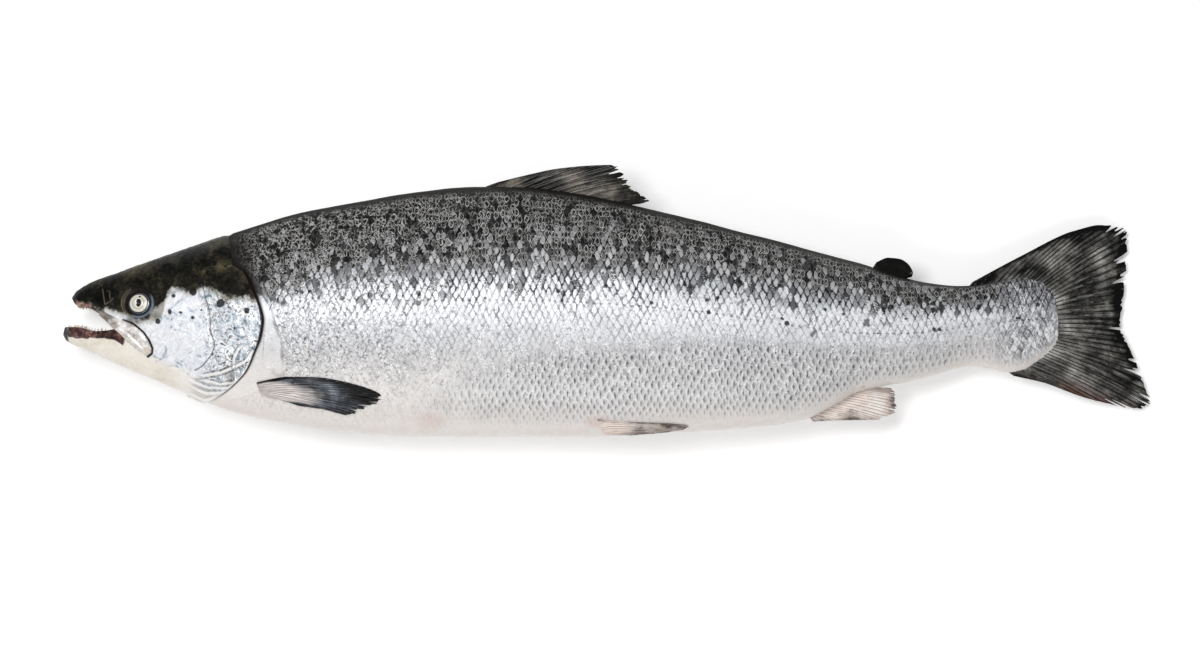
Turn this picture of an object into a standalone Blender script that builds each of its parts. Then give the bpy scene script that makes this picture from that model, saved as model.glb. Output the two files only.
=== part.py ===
"""Whole raw salmon lying on its right side, left side up, mouth open.

The fish is laid out in its own three measures, all in millimetres and turned into metres at the
end: "along" runs from the tip of the upper jaw to the tail, "height" runs from the belly to the
back and is 0 near the middle of the trunk, and "side" runs across the fish, + to its left.
In the finished part +X is along, +Y is height and +Z is side, so the fish rests on its right side.
"""

import math

import bmesh
import bpy
from mathutils import Vector

MM = 0.001

# ---- driving dimensions (mm) ----
FLESH_END = 692.0  # where the scaled flesh stops at the root of the tail fin
JAW_LEAD = 7.0  # how far the lower jaw reaches in front of the upper one
LEAN_LENGTH = 120.0  # the slant of the head's sections, from jaw to jaw, fades out over this length
LEAN_POWER = 1.5  # how quickly it fades
LEAN_STEPS = 6  # rounds of the search that undoes the slant
SIDE_LINE = 0.48  # the widest level, as a share of the depth above the belly
BACK_POWER = 1.9  # fullness of the section above the widest level; 2 is an ellipse
BELLY_POWER = 2.15  # fullness below it
TOUCHING_GAP = 0.35  # gap between pieces that touch
PLATE_GAP = 0.5  # gap under the wide gill covers, whose flat facets dip between their points
RING_POINTS = 36  # points round one ring of the body
FLOOR = 0.0

# Outline of the flesh, without fins: (along, height of the back) and (along, height of the belly).
BACK = [
    (0, 10.5), (2, 13.5), (6, 16.5), (12, 19.6), (33, 27.5), (75, 42), (117, 56), (159, 68.4),
    (201, 76.6), (243, 83.2), (285, 86.9), (313, 86.9), (341, 84), (369, 79), (432, 64.4),
    (474, 53.9), (516, 42.7), (540, 36.4), (558, 31.6), (571, 27), (582, 23.6), (600, 19.7),
    (621, 17.6), (652, 21.7), (668, 24.4), (680, 22.2), (687, 17), (691, 8), (FLESH_END, -3),
]
BELLY = [
    (-7, -17), (-5, -20.5), (1, -23.8), (12, -28.7), (33, -37.8), (75, -56), (96, -65.1),
    (117, -72.1), (138, -76.7), (180, -83.6), (243, -88), (334, -88.2), (432, -84.7), (495, -79.5),
    (516, -74.9), (526, -70), (537, -63.7), (548, -57.2), (558, -54.4), (579, -51.1), (600, -45.9),
    (621, -39.9), (631, -38.6), (643, -40.6), (658, -43.2), (668, -41.8), (677, -36.6),
    (686, -30), (691, -24), (FLESH_END, -19),
]
# Half of the fish's thickness at its widest level.
HALF_WIDTH = [
    (0, 3.6), (3, 7.2), (8, 10), (20, 13), (35, 16.5), (48, 20), (70, 26.5), (98, 33), (125, 36.8),
    (136, 38.6), (152, 41.6), (180, 45), (220, 46.8), (260, 47.2), (330, 47), (400, 44),
    (460, 39.5), (520, 33.5), (580, 26.5), (625, 18.5), (650, 14), (670, 9.5), (680, 7),
    (688, 4.6), (FLESH_END, 3.2),
]
# Level of the fish's mid-plane above the floor: flat under the trunk, and the tail sags to the floor.
MID_LEVEL = [
    (-7, 37), (60, 40.4), (130, 42), (400, 42), (460, 40.8), (520, 36.4), (580, 30.2), (625, 23.6),
    (650, 20), (692, 13), (757, 3.4),
]

# Mouth: the open wedge between the jaws, as (along, height) round its side view.
MOUTH = [
    (-14, 9.4), (-0.6, 8.6), (1.4, 5.6), (4.9, 2.8), (11.9, 2.1), (18.9, -1.4), (25.9, -7),
    (30.8, -12.6), (25.9, -13.3), (15.4, -14), (4.9, -11.2), (-4.9, -11.2), (-14, -11.2),
]
MOUTH_CUT_TOP = 90.0  # the cut goes right through the head, up to this level

# Eye.
EYE_ALONG = 47.6
EYE_HEIGHT = 5.2
EYE_RADIUS = 8.0
EYE_BALL_DEPTH = 6.0  # half of the ball's depth across the fish
EYE_SINK = 3.6  # how far the ball's middle lies inside the skin

# Fins that stand in the mid-plane: each ray is (root along, root height, tip along, tip height).
# A root height of None stands on the outline of the flesh.
DORSAL_RAYS = [
    (285, None, 298, 90.4), (294, None, 321, 95.9), (303, None, 336, 99), (314, None, 361, 101.5),
    (326, None, 383, 102.2), (338, None, 386, 94.5), (352, None, 391, 88.9), (368, None, 398, 83),
    (381, None, 405, 77.5), (387, None, 397, 75.2),
]
ADIPOSE_RAYS = [
    (560, None, 563, 34.4), (563, None, 571, 37.5), (568, None, 579, 36.8), (573, None, 585.5, 33),
    (578, None, 588.7, 27), (582, None, 588, 24.6),
]
ANAL_RAYS = [
    (515, None, 518, -77.4), (518, None, 537, -76.6), (524, None, 557, -76.3),
    (531, None, 569, -75.4), (538, None, 579, -70.6), (545, None, 577, -62.4),
    (551, None, 576.5, -57.4), (558, None, 573, -54.6),
]
TAIL_RAYS = [
    (628, 18.6, 631, 20.4), (648, 22.1, 664, 37.5), (664, 25.2, 700, 54.4), (677, 24.6, 722, 59),
    (684.5, 20.6, 741.3, 57.1), (690.4, 13, 740, 37), (693, 2.6, 737, 12), (693.2, -10, 735.7, -9),
    (693.2, -20, 741, -24), (692.4, -26, 750, -44), (686, -31.4, 757.4, -64.4),
    (678.4, -37, 746, -68.6), (669.6, -42, 710, -60.3), (661, -44.2, 680, -49.8),
    (655, -43.8, 660, -45.4),
]
# Fins folded along the flesh: the same rays, laid on the side of the fish.
PECTORAL_RAYS = [
    (133, -50.5, 150, -45.6), (133.4, -51.4, 171, -46), (133.8, -52.4, 198, -51),
    (134.2, -53.4, 214, -57.4), (134.6, -54.4, 217, -62.4), (135, -55.4, 207, -68.2),
    (135.4, -56.4, 196, -72.4), (135.8, -57.4, 181, -68.6), (136.2, -58.4, 158, -65),
]
WEB_THINNING = 0.3  # how much thinner the web between two rays is, as a share
RIGHT_PECTORAL_DROP = 5.0  # the right one is pushed this far towards the belly by the fish's weight
# The pelvic fins lie beside the belly's edge: (along, degrees round the section from the back).
PELVIC_RAYS = [
    (367, 146, 392, 150), (368, 149, 418, 154), (369, 152, 432, 159), (370, 155, 430, 163),
    (371, 158, 418, 167), (372, 161, 404, 170), (373, 164, 388, 171),
]

# Bony plates of the head: (front along, front height, rear along, rear height), from top to bottom.
GILL_COVER_ROWS = [
    (90, 26, 112, 31.4), (92, 22, 121, 27), (93, 17.5, 127.2, 16), (97.3, 1.4, 132.8, 3.1),
    (98.7, -6.3, 134.6, -6.6), (98.7, -14.7, 133.4, -17), (101.9, -24.2, 128.8, -29),
    (99.4, -29.9, 123.2, -41.1), (94.5, -35, 115.5, -50), (88.2, -42, 106, -57),
    (80, -50, 95, -62.2),
]
UPPER_LIP_ROWS = [
    (19.6, -3.2, 19.6, 0.4), (24, -7, 28, -3.1), (29.5, -12.6, 35.7, -6.3), (36.4, -18.6, 43.4, -9.8),
    (42, -23.6, 50.4, -15.4), (47.4, -27.6, 54.8, -22.6), (52, -30.6, 56, -28.6),
]


def smooth(table, x):
    """Value at x of a smooth curve through the table's points, which never overshoots them."""
    if x <= table[0][0]:
        return table[0][1]
    if x >= table[-1][0]:
        return table[-1][1]
    slopes = []
    secants = [(b[1] - a[1]) / (b[0] - a[0]) for a, b in zip(table, table[1:])]
    for before, after in zip([secants[0]] + secants, secants + [secants[-1]]):
        same_way = before * after > 0
        slopes.append(2 * before * after / (before + after) if same_way else 0.0)
    i = next(n for n in range(len(table) - 1) if x <= table[n + 1][0])
    (x0, y0), (x1, y1) = table[i], table[i + 1]
    span = x1 - x0
    t = (x - x0) / span
    rise = t * t * (3 - 2 * t)
    bend = t * (1 - t) * ((1 - t) * slopes[i] - t * slopes[i + 1]) * span
    return y0 + (y1 - y0) * rise + bend


def between(rows, t):
    """The row at share t (0 to 1) of the way down a list of rows, each number read smoothly."""
    last = len(rows) - 1
    columns = zip(*rows)
    return [smooth([(n / last, value) for n, value in enumerate(column)], t) for column in columns]


def section(station):
    """Back, belly and widest level of the section at a station, its half width, and its lean.

    In the head the section leans forward to the lower jaw: lean is how far ahead its foot is.
    """
    lean = JAW_LEAD * max(0.0, 1 - max(station, 0.0) / LEAN_LENGTH) ** LEAN_POWER
    top = smooth(BACK, station)
    bottom = smooth(BELLY, station - lean)
    middle = bottom + SIDE_LINE * (top - bottom)
    return top, bottom, middle, smooth(HALF_WIDTH, station), lean


def ring_point(station, angle):
    """Point of the left half of the section at a station; angle 0 is the back, pi the belly.

    Returns (along, height, side from the mid-plane). The section is a superellipse with one
    fullness above its widest level and another below it.
    """
    top, bottom, middle, half_width, lean = section(station)
    if angle <= math.pi / 2:
        power, reach = BACK_POWER, top - middle
    else:
        power, reach = BELLY_POWER, bottom - middle
    height = middle + reach * abs(math.cos(angle)) ** (2 / power)
    side = half_width * abs(math.sin(angle)) ** (2 / power)
    return station - lean * (top - height) / (top - bottom), height, side


def side_at(along, height):
    """Half thickness of the flesh at a place of the side view, by undoing the section's lean."""
    station = along
    for _ in range(LEAN_STEPS):
        top, bottom, middle, half_width, lean = section(station)
        share = min(1.0, max(0.0, (top - height) / (top - bottom)))
        station = along + lean * share
    if height >= middle:
        level, power = (height - middle) / (top - middle), BACK_POWER
    else:
        level, power = (middle - height) / (middle - bottom), BELLY_POWER
    return half_width * max(0.0, 1 - min(1.0, level) ** power) ** (1 / power)


def normal_at(along, height):
    """Outward direction of the left flank at a place of the side view."""
    step = 1.0
    lean = (side_at(along + step, height) - side_at(along - step, height)) / (2 * step)
    roll = (side_at(along, height + step) - side_at(along, height - step)) / (2 * step)
    return Vector((-lean, -roll, 1.0)).normalized()


def on_side(hand, drop=0.0):
    """Placer that lays a point (along, height, lift) on one side of the fish, lift mm off it."""

    def place(along, height, lift):
        height -= drop
        out = normal_at(along, height) * lift
        side = side_at(along, height) + out.z
        return Vector((along + out.x, height + out.y, smooth(MID_LEVEL, along) + hand * side))

    return place


def on_belly(hand):
    """Placer for (along, degrees round the section, lift), for fins beside the belly's edge.

    The lift goes down and outwards, square to the section's outline there.
    """
    step = 0.02

    def place(along, degrees, lift):
        angle = math.radians(degrees)
        _, height, side = ring_point(along, angle)
        _, next_height, next_side = ring_point(along, angle + step)
        run, fall = side - next_side, height - next_height
        length = math.hypot(run, fall)
        height -= run / length * lift
        side += fall / length * lift
        return Vector((along, height, smooth(MID_LEVEL, along) + hand * side))

    return place


def upright(along, height, lift):
    """Placer for fins in the mid-plane, where lift is the offset to the left."""
    return Vector((along, height, smooth(MID_LEVEL, along) + lift))


def material(name, colour, roughness, metallic=0.0):
    """A Principled material."""
    made = bpy.data.materials.new(name)
    made.use_nodes = True
    shader = made.node_tree.nodes["Principled BSDF"]
    shader.inputs["Base Color"].default_value = (*colour, 1)
    shader.inputs["Roughness"].default_value = roughness
    shader.inputs["Metallic"].default_value = metallic
    return made


def add_object(name, bm, finish, parent):
    """Turns a bmesh laid out in fish millimetres into a smooth-shaded object under the parent."""
    for vertex in bm.verts:
        vertex.co *= MM
    bmesh.ops.recalc_face_normals(bm, faces=bm.faces)
    mesh = bpy.data.meshes.new(name)
    bm.to_mesh(mesh)
    bm.free()
    mesh.shade_smooth()
    mesh.set_sharp_from_angle(angle=math.radians(50))
    mesh.materials.append(finish)
    thing = bpy.data.objects.new(name, mesh)
    bpy.context.collection.objects.link(thing)
    thing.parent = parent
    return thing


def grid_faces(bm, rows):
    """Joins each row of vertices to the next one with quads."""
    for row, after in zip(rows, rows[1:]):
        for a, b, c, d in zip(row, row[1:], after[1:], after):
            bm.faces.new((a, b, c, d))


def stations():
    """Places of the body's rings: close together at the jaws and at the root of the tail."""
    places = [0.0, 1.5, 4.0, 8.0]
    places += [8 + 6.5 * n for n in range(1, 20)]
    rear_start = places[-1]
    rear_end, rear_count = 630.0, 36
    places += [rear_start + (rear_end - rear_start) * n / rear_count for n in range(1, rear_count + 1)]
    places += [640, 650, 660, 668, 675, 681, 686, 689.5, FLESH_END]
    return places


def body_mesh():
    """Loft of closed rings from the jaws to the root of the tail, flat where it lies on the floor."""
    bm = bmesh.new()
    rings = []
    for station in stations():
        ring = []
        for n in range(RING_POINTS):
            turn = 2 * math.pi * n / RING_POINTS
            hand = 1 if turn <= math.pi else -1
            along, height, side = ring_point(station, turn if hand == 1 else 2 * math.pi - turn)
            level = max(FLOOR, smooth(MID_LEVEL, station) + hand * side)
            ring.append(bm.verts.new((along, height, level)))
        rings.append(ring + [ring[0]])
    grid_faces(bm, rings)
    bm.faces.new(rings[0][:-1])
    bm.faces.new(rings[-1][:-1])
    return bm


def prism_mesh(outline, low, high):
    """Straight prism across the fish over a side-view outline."""
    bm = bmesh.new()
    bottom = [bm.verts.new((along, height, low)) for along, height in outline]
    cap = bm.faces.new(bottom)
    raised = bmesh.ops.extrude_face_region(bm, geom=[cap])["geom"]
    top = [item for item in raised if isinstance(item, bmesh.types.BMVert)]
    bmesh.ops.translate(bm, verts=top, vec=(0, 0, high - low))
    return bm


def ball_mesh(hand, extra):
    """Eyeball, flattened across the fish and turned to lie along the skin; extra mm all round."""
    bm = bmesh.new()
    bmesh.ops.create_uvsphere(bm, u_segments=16, v_segments=8, radius=1.0)
    out = normal_at(EYE_ALONG, EYE_HEIGHT)
    skin = on_side(1)(EYE_ALONG, EYE_HEIGHT, -EYE_SINK)
    mid = smooth(MID_LEVEL, EYE_ALONG)
    turn = out.to_track_quat("Z", "Y").to_matrix()
    radii = Vector((EYE_RADIUS + extra, EYE_RADIUS + extra, EYE_BALL_DEPTH + extra))
    for vertex in bm.verts:
        vertex.co = skin + turn @ (vertex.co * radii)
        vertex.co.z = mid + hand * (vertex.co.z - mid)
    return bm


def plate_mesh(rows, place, across, down, inner, thickness):
    """Closed plate over ruled rows: an inner and an outer skin joined round their edge.

    rows are (start a, start b, end a, end b) from one side of the plate to the other, and place
    lays (a, b, lift) in space. inner(u, v) is the inner skin's lift and thickness(u, v) is added
    to it, with u the share along a row and v the share down the rows.
    """
    bm = bmesh.new()
    inside, outside = [], []
    for j in range(down + 1):
        v = j / down
        start_a, start_b, end_a, end_b = between(rows, v)
        near, far = [], []
        for i in range(across + 1):
            u = i / across
            a = start_a + (end_a - start_a) * u
            b = start_b + (end_b - start_b) * u
            low = inner(u, v)
            near.append(bm.verts.new(place(a, b, low)))
            far.append(bm.verts.new(place(a, b, low + thickness(u, v))))
        inside.append(near)
        outside.append(far)
    grid_faces(bm, inside)
    grid_faces(bm, outside)
    for near, far in ((inside[0], outside[0]), (inside[-1], outside[-1])):
        grid_faces(bm, [near, far])
    for k in (0, -1):
        grid_faces(bm, [[row[k] for row in inside], [row[k] for row in outside]])
    return bm


def gill_cover_mesh(hand):
    """Gill cover: a thin bony plate that grows thicker towards its free rear edge."""
    return plate_mesh(
        GILL_COVER_ROWS, on_side(hand), 5, 18, lambda u, v: PLATE_GAP, lambda u, v: 0.6 + 0.8 * u
    )


def upper_lip_mesh(hand):
    """Bone of the upper jaw's side: a narrow plate with a rounded back, lying over the mouth's corner."""

    def thickness(u, v):
        return 0.8 + 0.6 * math.sin(math.pi * u)

    return plate_mesh(UPPER_LIP_ROWS, on_side(hand), 3, 9, lambda u, v: TOUCHING_GAP, thickness)


def fin_rows(rays, ragged):
    """Two rows to each ray: the ray itself, and the web after it, shorter by the ragged share."""
    last = len(rays) - 1
    rows = []
    for n in range(2 * last + 1):
        root_a, root_b, tip_a, tip_b = between(rays, n / (2 * last))
        if n % 2:
            tip_a -= (tip_a - root_a) * ragged
            tip_b -= (tip_b - root_b) * ragged
        rows.append((root_a, root_b, tip_a, tip_b))
    return rows


def ray_thickness(count, root, tip):
    """Thickness of a fin: tapers from root to tip, and is less in the webs between the rays."""

    def thickness(u, v):
        web = 0.5 - 0.5 * math.cos(2 * math.pi * v * count)
        return (root + (tip - root) * u) * (1 - WEB_THINNING * web)

    return thickness


def edge_at(outline, along):
    """Height of the flesh's edge, which runs straight from one ring of the body to the next."""
    places = stations()
    after = next(n for n in range(1, len(places)) if along <= places[n])
    before, after = places[after - 1], places[after]
    share = (along - before) / (after - before)
    return smooth(outline, before) * (1 - share) + smooth(outline, after) * share


def standing_rays(rays, outline, gap):
    """Puts the roots that have no height of their own on the edge of the flesh, gap mm off it."""
    return [
        (root, edge_at(outline, root) + gap if level is None else level, tip, tip_level)
        for root, level, tip, tip_level in rays
    ]


def standing_fin(name, rays, root, tip, ragged, finish, parent, across=4):
    """A fin in the mid-plane, its two skins mirror images of each other."""
    count = len(rays) - 1
    thickness = ray_thickness(count, root, tip)
    rows = fin_rows(rays, ragged)
    bm = plate_mesh(rows, upright, across, 2 * count, lambda u, v: -thickness(u, v) / 2, thickness)
    return add_object(name, bm, finish, parent)


def lying_fin(name, rays, place, root, tip, ragged, finish, parent, across=5):
    """A fin folded along the flesh."""
    count = len(rays) - 1
    rows = fin_rows(rays, ragged)
    thickness = ray_thickness(count, root, tip)
    bm = plate_mesh(rows, place, across, 2 * count, lambda u, v: TOUCHING_GAP, thickness)
    return add_object(name, bm, finish, parent)


def cut(thing, cutter_name, bm, finish, parent):
    """Takes a hidden cutter out of a thing."""
    cutter = add_object(cutter_name, bm, finish, parent)
    cutter.hide_render = True
    cutter.display_type = "WIRE"
    boolean = thing.modifiers.new(cutter_name, "BOOLEAN")
    boolean.operation = "DIFFERENCE"
    boolean.solver = "EXACT"
    boolean.object = cutter


def settle(things, parent):
    """Moves the parent so that the middle of the things' box stands over the origin."""
    bpy.context.view_layer.update()
    corners = [thing.matrix_world @ vertex.co for thing in things for vertex in thing.data.vertices]
    for axis in (0, 1):
        low = min(corner[axis] for corner in corners)
        high = max(corner[axis] for corner in corners)
        parent.location[axis] -= (low + high) / 2


def main():
    for thing in list(bpy.data.objects):
        bpy.data.objects.remove(thing)

    skin = material("silver_skin", (0.52, 0.53, 0.54), 0.32, 0.3)
    plate = material("head_plate", (0.66, 0.67, 0.69), 0.28, 0.3)
    dark_fin = material("dark_fin", (0.06, 0.055, 0.05), 0.45)
    pale_fin = material("pale_fin", (0.55, 0.47, 0.4), 0.45)
    eye = material("eye", (0.72, 0.66, 0.48), 0.12)

    fish = bpy.data.objects.new("fish", None)
    bpy.context.collection.objects.link(fish)

    body = add_object("body", body_mesh(), skin, fish)
    cut(body, "mouth_cutter", prism_mesh(MOUTH, FLOOR, MOUTH_CUT_TOP), skin, fish)
    pieces = [body]

    for label, hand in (("left", 1), ("right", -1)):
        cut(body, f"socket_cutter_{label}", ball_mesh(hand, TOUCHING_GAP), skin, fish)
        pieces.append(add_object(f"eye_{label}", ball_mesh(hand, 0.0), eye, fish))
        pieces.append(add_object(f"gill_cover_{label}", gill_cover_mesh(hand), plate, fish))
        pieces.append(add_object(f"upper_lip_{label}", upper_lip_mesh(hand), plate, fish))
        flank = on_side(hand, 0.0 if hand == 1 else RIGHT_PECTORAL_DROP)
        belly = on_belly(hand)
        pieces.append(
            lying_fin(f"pectoral_fin_{label}", PECTORAL_RAYS, flank, 2.2, 1.2, 0.03, dark_fin, fish)
        )
        pieces.append(
            lying_fin(f"pelvic_fin_{label}", PELVIC_RAYS, belly, 2.6, 1.4, 0.03, pale_fin, fish)
        )

    dorsal = standing_rays(DORSAL_RAYS, BACK, TOUCHING_GAP)
    adipose = standing_rays(ADIPOSE_RAYS, BACK, TOUCHING_GAP)
    anal = standing_rays(ANAL_RAYS, BELLY, -TOUCHING_GAP)
    pieces.append(standing_fin("dorsal_fin", dorsal, 3.4, 1.2, 0.04, dark_fin, fish))
    pieces.append(standing_fin("adipose_fin", adipose, 3.2, 1.6, 0.0, dark_fin, fish))
    pieces.append(standing_fin("anal_fin", anal, 3.0, 1.2, 0.05, pale_fin, fish))
    pieces.append(standing_fin("caudal_fin", TAIL_RAYS, 3.6, 1.2, 0.04, dark_fin, fish, across=5))

    settle(pieces, fish)


main()
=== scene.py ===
"""Looks of a whole raw salmon that lies on its right side.

Shapes are worked out in the fish's own millimetres: "along" runs from the tip of the upper jaw
to the tail, "height" from the belly to the back, and "side" across the fish, + to its left.
"""

import math

import bpy
import numpy as np
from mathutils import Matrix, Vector


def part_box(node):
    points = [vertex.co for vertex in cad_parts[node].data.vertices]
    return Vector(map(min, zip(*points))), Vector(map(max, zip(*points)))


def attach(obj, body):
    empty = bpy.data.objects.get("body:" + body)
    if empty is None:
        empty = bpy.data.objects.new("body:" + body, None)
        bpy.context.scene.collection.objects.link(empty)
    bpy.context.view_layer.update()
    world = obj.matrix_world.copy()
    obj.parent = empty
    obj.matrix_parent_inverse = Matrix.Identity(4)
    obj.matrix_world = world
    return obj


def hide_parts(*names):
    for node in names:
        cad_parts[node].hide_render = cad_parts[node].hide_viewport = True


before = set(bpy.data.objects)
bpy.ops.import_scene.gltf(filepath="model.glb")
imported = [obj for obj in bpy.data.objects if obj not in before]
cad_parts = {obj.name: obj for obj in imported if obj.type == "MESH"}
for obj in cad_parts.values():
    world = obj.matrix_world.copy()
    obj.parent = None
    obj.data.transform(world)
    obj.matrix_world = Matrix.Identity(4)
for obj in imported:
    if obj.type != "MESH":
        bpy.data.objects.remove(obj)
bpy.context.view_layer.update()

MM = 0.001

# ---- the body's form (mm), as in the frame's solids ----
FLESH_END = 692.0
JAW_LEAD = 7.0
LEAN_LENGTH = 120.0
LEAN_POWER = 1.5
LEAN_STEPS = 6
SIDE_LINE = 0.48
BACK_POWER = 1.9
BELLY_POWER = 2.15

BACK = [
    (0, 10.5), (2, 13.5), (6, 16.5), (12, 19.6), (33, 27.5), (75, 42), (117, 56), (159, 68.4),
    (201, 76.6), (243, 83.2), (285, 86.9), (313, 86.9), (341, 84), (369, 79), (432, 64.4),
    (474, 53.9), (516, 42.7), (540, 36.4), (558, 31.6), (571, 27), (582, 23.6), (600, 19.7),
    (621, 17.6), (652, 21.7), (668, 24.4), (680, 22.2), (687, 17), (691, 8), (FLESH_END, -3),
]
BELLY = [
    (-7, -17), (-5, -20.5), (1, -23.8), (12, -28.7), (33, -37.8), (75, -56), (96, -65.1),
    (117, -72.1), (138, -76.7), (180, -83.6), (243, -88), (334, -88.2), (432, -84.7), (495, -79.5),
    (516, -74.9), (526, -70), (537, -63.7), (548, -57.2), (558, -54.4), (579, -51.1), (600, -45.9),
    (621, -39.9), (631, -38.6), (643, -40.6), (658, -43.2), (668, -41.8), (677, -36.6),
    (686, -30), (691, -24), (FLESH_END, -19),
]
HALF_WIDTH = [
    (0, 3.6), (3, 7.2), (8, 10), (20, 13), (35, 16.5), (48, 20), (70, 26.5), (98, 33), (125, 36.8),
    (136, 38.6), (152, 41.6), (180, 45), (220, 46.8), (260, 47.2), (330, 47), (400, 44),
    (460, 39.5), (520, 33.5), (580, 26.5), (625, 18.5), (650, 14), (670, 9.5), (680, 7),
    (688, 4.6), (FLESH_END, 3.2),
]
MID_LEVEL = [
    (-7, 37), (60, 40.4), (130, 42), (400, 42), (460, 40.8), (520, 36.4), (580, 30.2), (625, 23.6),
    (650, 20), (692, 13), (757, 3.4),
]
# The row of pores along the flank.
LATERAL_LINE = [
    (120, 10.5), (200, 8), (278, 7), (325, 7), (369, 4.9), (410, 2.1), (435, 0), (475, -6.3),
    (510, -11.2), (551, -15.6), (575, -15.8), (598, -14.7), (632, -9.8), (692, -4),
]
# Edges of the open mouth, and behind its corner the crease that both jaws share.
UPPER_JAW = [
    (-1.5, 9.4), (-0.4, 8), (1.4, 5.6), (4.9, 2.8), (11.9, 2.1), (18.9, -1.4), (25.9, -7),
    (30.8, -12.6), (40, -21.5), (48, -27), (58, -31), (110, -34),
]
LOWER_JAW = [
    (-7, -12.6), (-4.9, -11.2), (4.9, -11.4), (15.4, -14), (25.9, -13.4), (30.8, -12.6),
    (40, -21.5), (48, -27), (58, -31), (110, -34),
]
MOUTH_TIP = 30.8
THROAT_END = 58.0

# Free edge of the gill cover, and where the head's skin ends under it: (height, along).
GILL_EDGE = [
    (-64, 92), (-62.8, 94.6), (-57.2, 105.9), (-50, 115.5), (-41.1, 123.6), (-29, 129.2),
    (-17, 133.8), (-6.6, 135.2), (3.1, 133.2), (16, 127.6), (26.4, 122), (31.6, 113),
]
HEAD_SKIN_END = [
    (-74, 100), (-66, 92), (-62, 91), (-57, 96), (-50, 105), (-41, 114), (-29, 120), (-17, 125),
    (-6.6, 127), (3, 125), (16, 119), (26, 113), (32, 113), (40, 112), (60, 108),
]
GILL_FRONT = [
    (-64, 80), (-50, 80), (-42, 88.2), (-39.2, 88.4), (-33.6, 94.5), (-29.9, 99.4),
    (-24.2, 101.9), (-14.7, 98.7), (-6.3, 98.7), (1.4, 97.3), (17.5, 93), (26, 90), (31.6, 92),
]

SCALE_PITCH = 4.7  # from one scale to the next along a row
SCALE_TALL = 9.6  # height of a scale's diamond; the rows lie half of it apart
ROUNDNESS = 1.5  # of a scale's outline: 1 is a diamond, 2 an oval

EYE = (47.6, 5.2)


def smooth(table, x):
    """Smooth curve through a table: cubic Hermite pieces whose slopes are harmonic means of the
    neighbouring chords, so that it never overshoots its points."""
    xs, ys = np.array(table, float).T
    chords = np.diff(ys) / np.diff(xs)
    before, after = np.r_[chords[0], chords], np.r_[chords, chords[-1]]
    both = before * after > 0
    slopes = np.where(both, 2 * before * after / np.where(both, before + after, 1), 0)
    x = np.clip(x, xs[0], xs[-1])
    i = np.clip(np.searchsorted(xs, x, side="left") - 1, 0, len(xs) - 2)
    span = xs[i + 1] - xs[i]
    t = (x - xs[i]) / span
    bend = t * (1 - t) * ((1 - t) * slopes[i] - t * slopes[i + 1]) * span
    return ys[i] + (ys[i + 1] - ys[i]) * t * t * (3 - 2 * t) + bend


def fade(low, high, x):
    """Soft step: 0 below low, 1 above high, and a cubic ease between."""
    t = np.clip((x - low) / (high - low), 0, 1)
    return t * t * (3 - 2 * t)


def section(station):
    """Back, belly and widest level of the section at a station, its half width and its lean."""
    lean = JAW_LEAD * np.maximum(0.0, 1 - np.maximum(station, 0.0) / LEAN_LENGTH) ** LEAN_POWER
    top = smooth(BACK, station)
    bottom = smooth(BELLY, station - lean)
    return top, bottom, bottom + SIDE_LINE * (top - bottom), smooth(HALF_WIDTH, station), lean


def ring_point(station, angle):
    """(along, height, side) of the section at a station: a superellipse, angle 0 at the back and
    pi at the belly, fuller below its widest level than above; a negative angle is the right side."""
    top, bottom, middle, half_width, lean = section(station)
    cosine, sine = np.cos(angle), np.sin(angle)
    above = cosine > 0
    power = np.where(above, BACK_POWER, BELLY_POWER)
    reach = np.where(above, top - middle, bottom - middle)
    height = middle + reach * np.abs(cosine) ** (2 / power)
    side = np.sign(sine) * half_width * np.abs(sine) ** (2 / power)
    return station - lean * (top - height) / (top - bottom), height, side


def station_of(along, height):
    """Station whose leaning section passes through a place of the side view."""
    station = along
    for _ in range(LEAN_STEPS):
        top, bottom, _, _, lean = section(station)
        station = along + lean * np.clip((top - height) / (top - bottom), 0, 1)
    return station


def angle_of(station, height):
    """Angle round the section at which it reaches a height."""
    top, bottom, middle, _, _ = section(station)
    up = np.clip((height - middle) / (top - middle), 0, 1) ** (BACK_POWER / 2)
    down = np.clip((middle - height) / (middle - bottom), 0, 1) ** (BELLY_POWER / 2)
    return np.arccos(np.where(height >= middle, up, -down))


def side_at(along, height):
    """Half thickness of the flesh at a place of the side view."""
    station = station_of(along, height)
    return ring_point(station, angle_of(station, height))[2]


# ---- from the fish's millimetres to the frame ----
BODY_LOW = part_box("body")[0]
ORIGIN_ALONG = BODY_LOW.x / MM + JAW_LEAD
ORIGIN_HEIGHT = BODY_LOW.y / MM - min(height for _, height in BELLY)


def placed(along, height, side, lift=0.0):
    """Points of the frame in metres: the mid-plane's level plus the offset to the side. The right
    flank is pressed flat on the floor, where relief fades out."""
    level = smooth(MID_LEVEL, along) + side
    level = np.maximum(level, 0.02)
    return np.stack([(along + ORIGIN_ALONG), (height + ORIGIN_HEIGHT), level + lift], -1) * MM


def grid_normals(points, wrap=False):
    """Unit normals of a grid of points: the cross product of its central differences."""
    down = np.gradient(points, axis=0)
    if wrap:
        across = np.roll(points, -1, axis=1) - np.roll(points, 1, axis=1)
    else:
        across = np.gradient(points, axis=1)
    normal = np.cross(across, down)
    return normal / np.maximum(np.linalg.norm(normal, axis=-1, keepdims=True), 1e-12)


def value_noise(x, y, size, seed):
    """Smooth random field: random numbers on a lattice of the given size, eased between."""
    table = np.random.default_rng(seed).random((64, 64))
    x, y = x / size, y / size
    i, j = np.floor(x).astype(int), np.floor(y).astype(int)
    s, t = x - i, y - j
    s, t = s * s * (3 - 2 * s), t * t * (3 - 2 * t)
    i, j, k, n = i % 64, j % 64, (i + 1) % 64, (j + 1) % 64
    low = table[i, j] * (1 - s) + table[k, j] * s
    high = table[i, n] * (1 - s) + table[k, n] * s
    return low * (1 - t) + high * t


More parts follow.
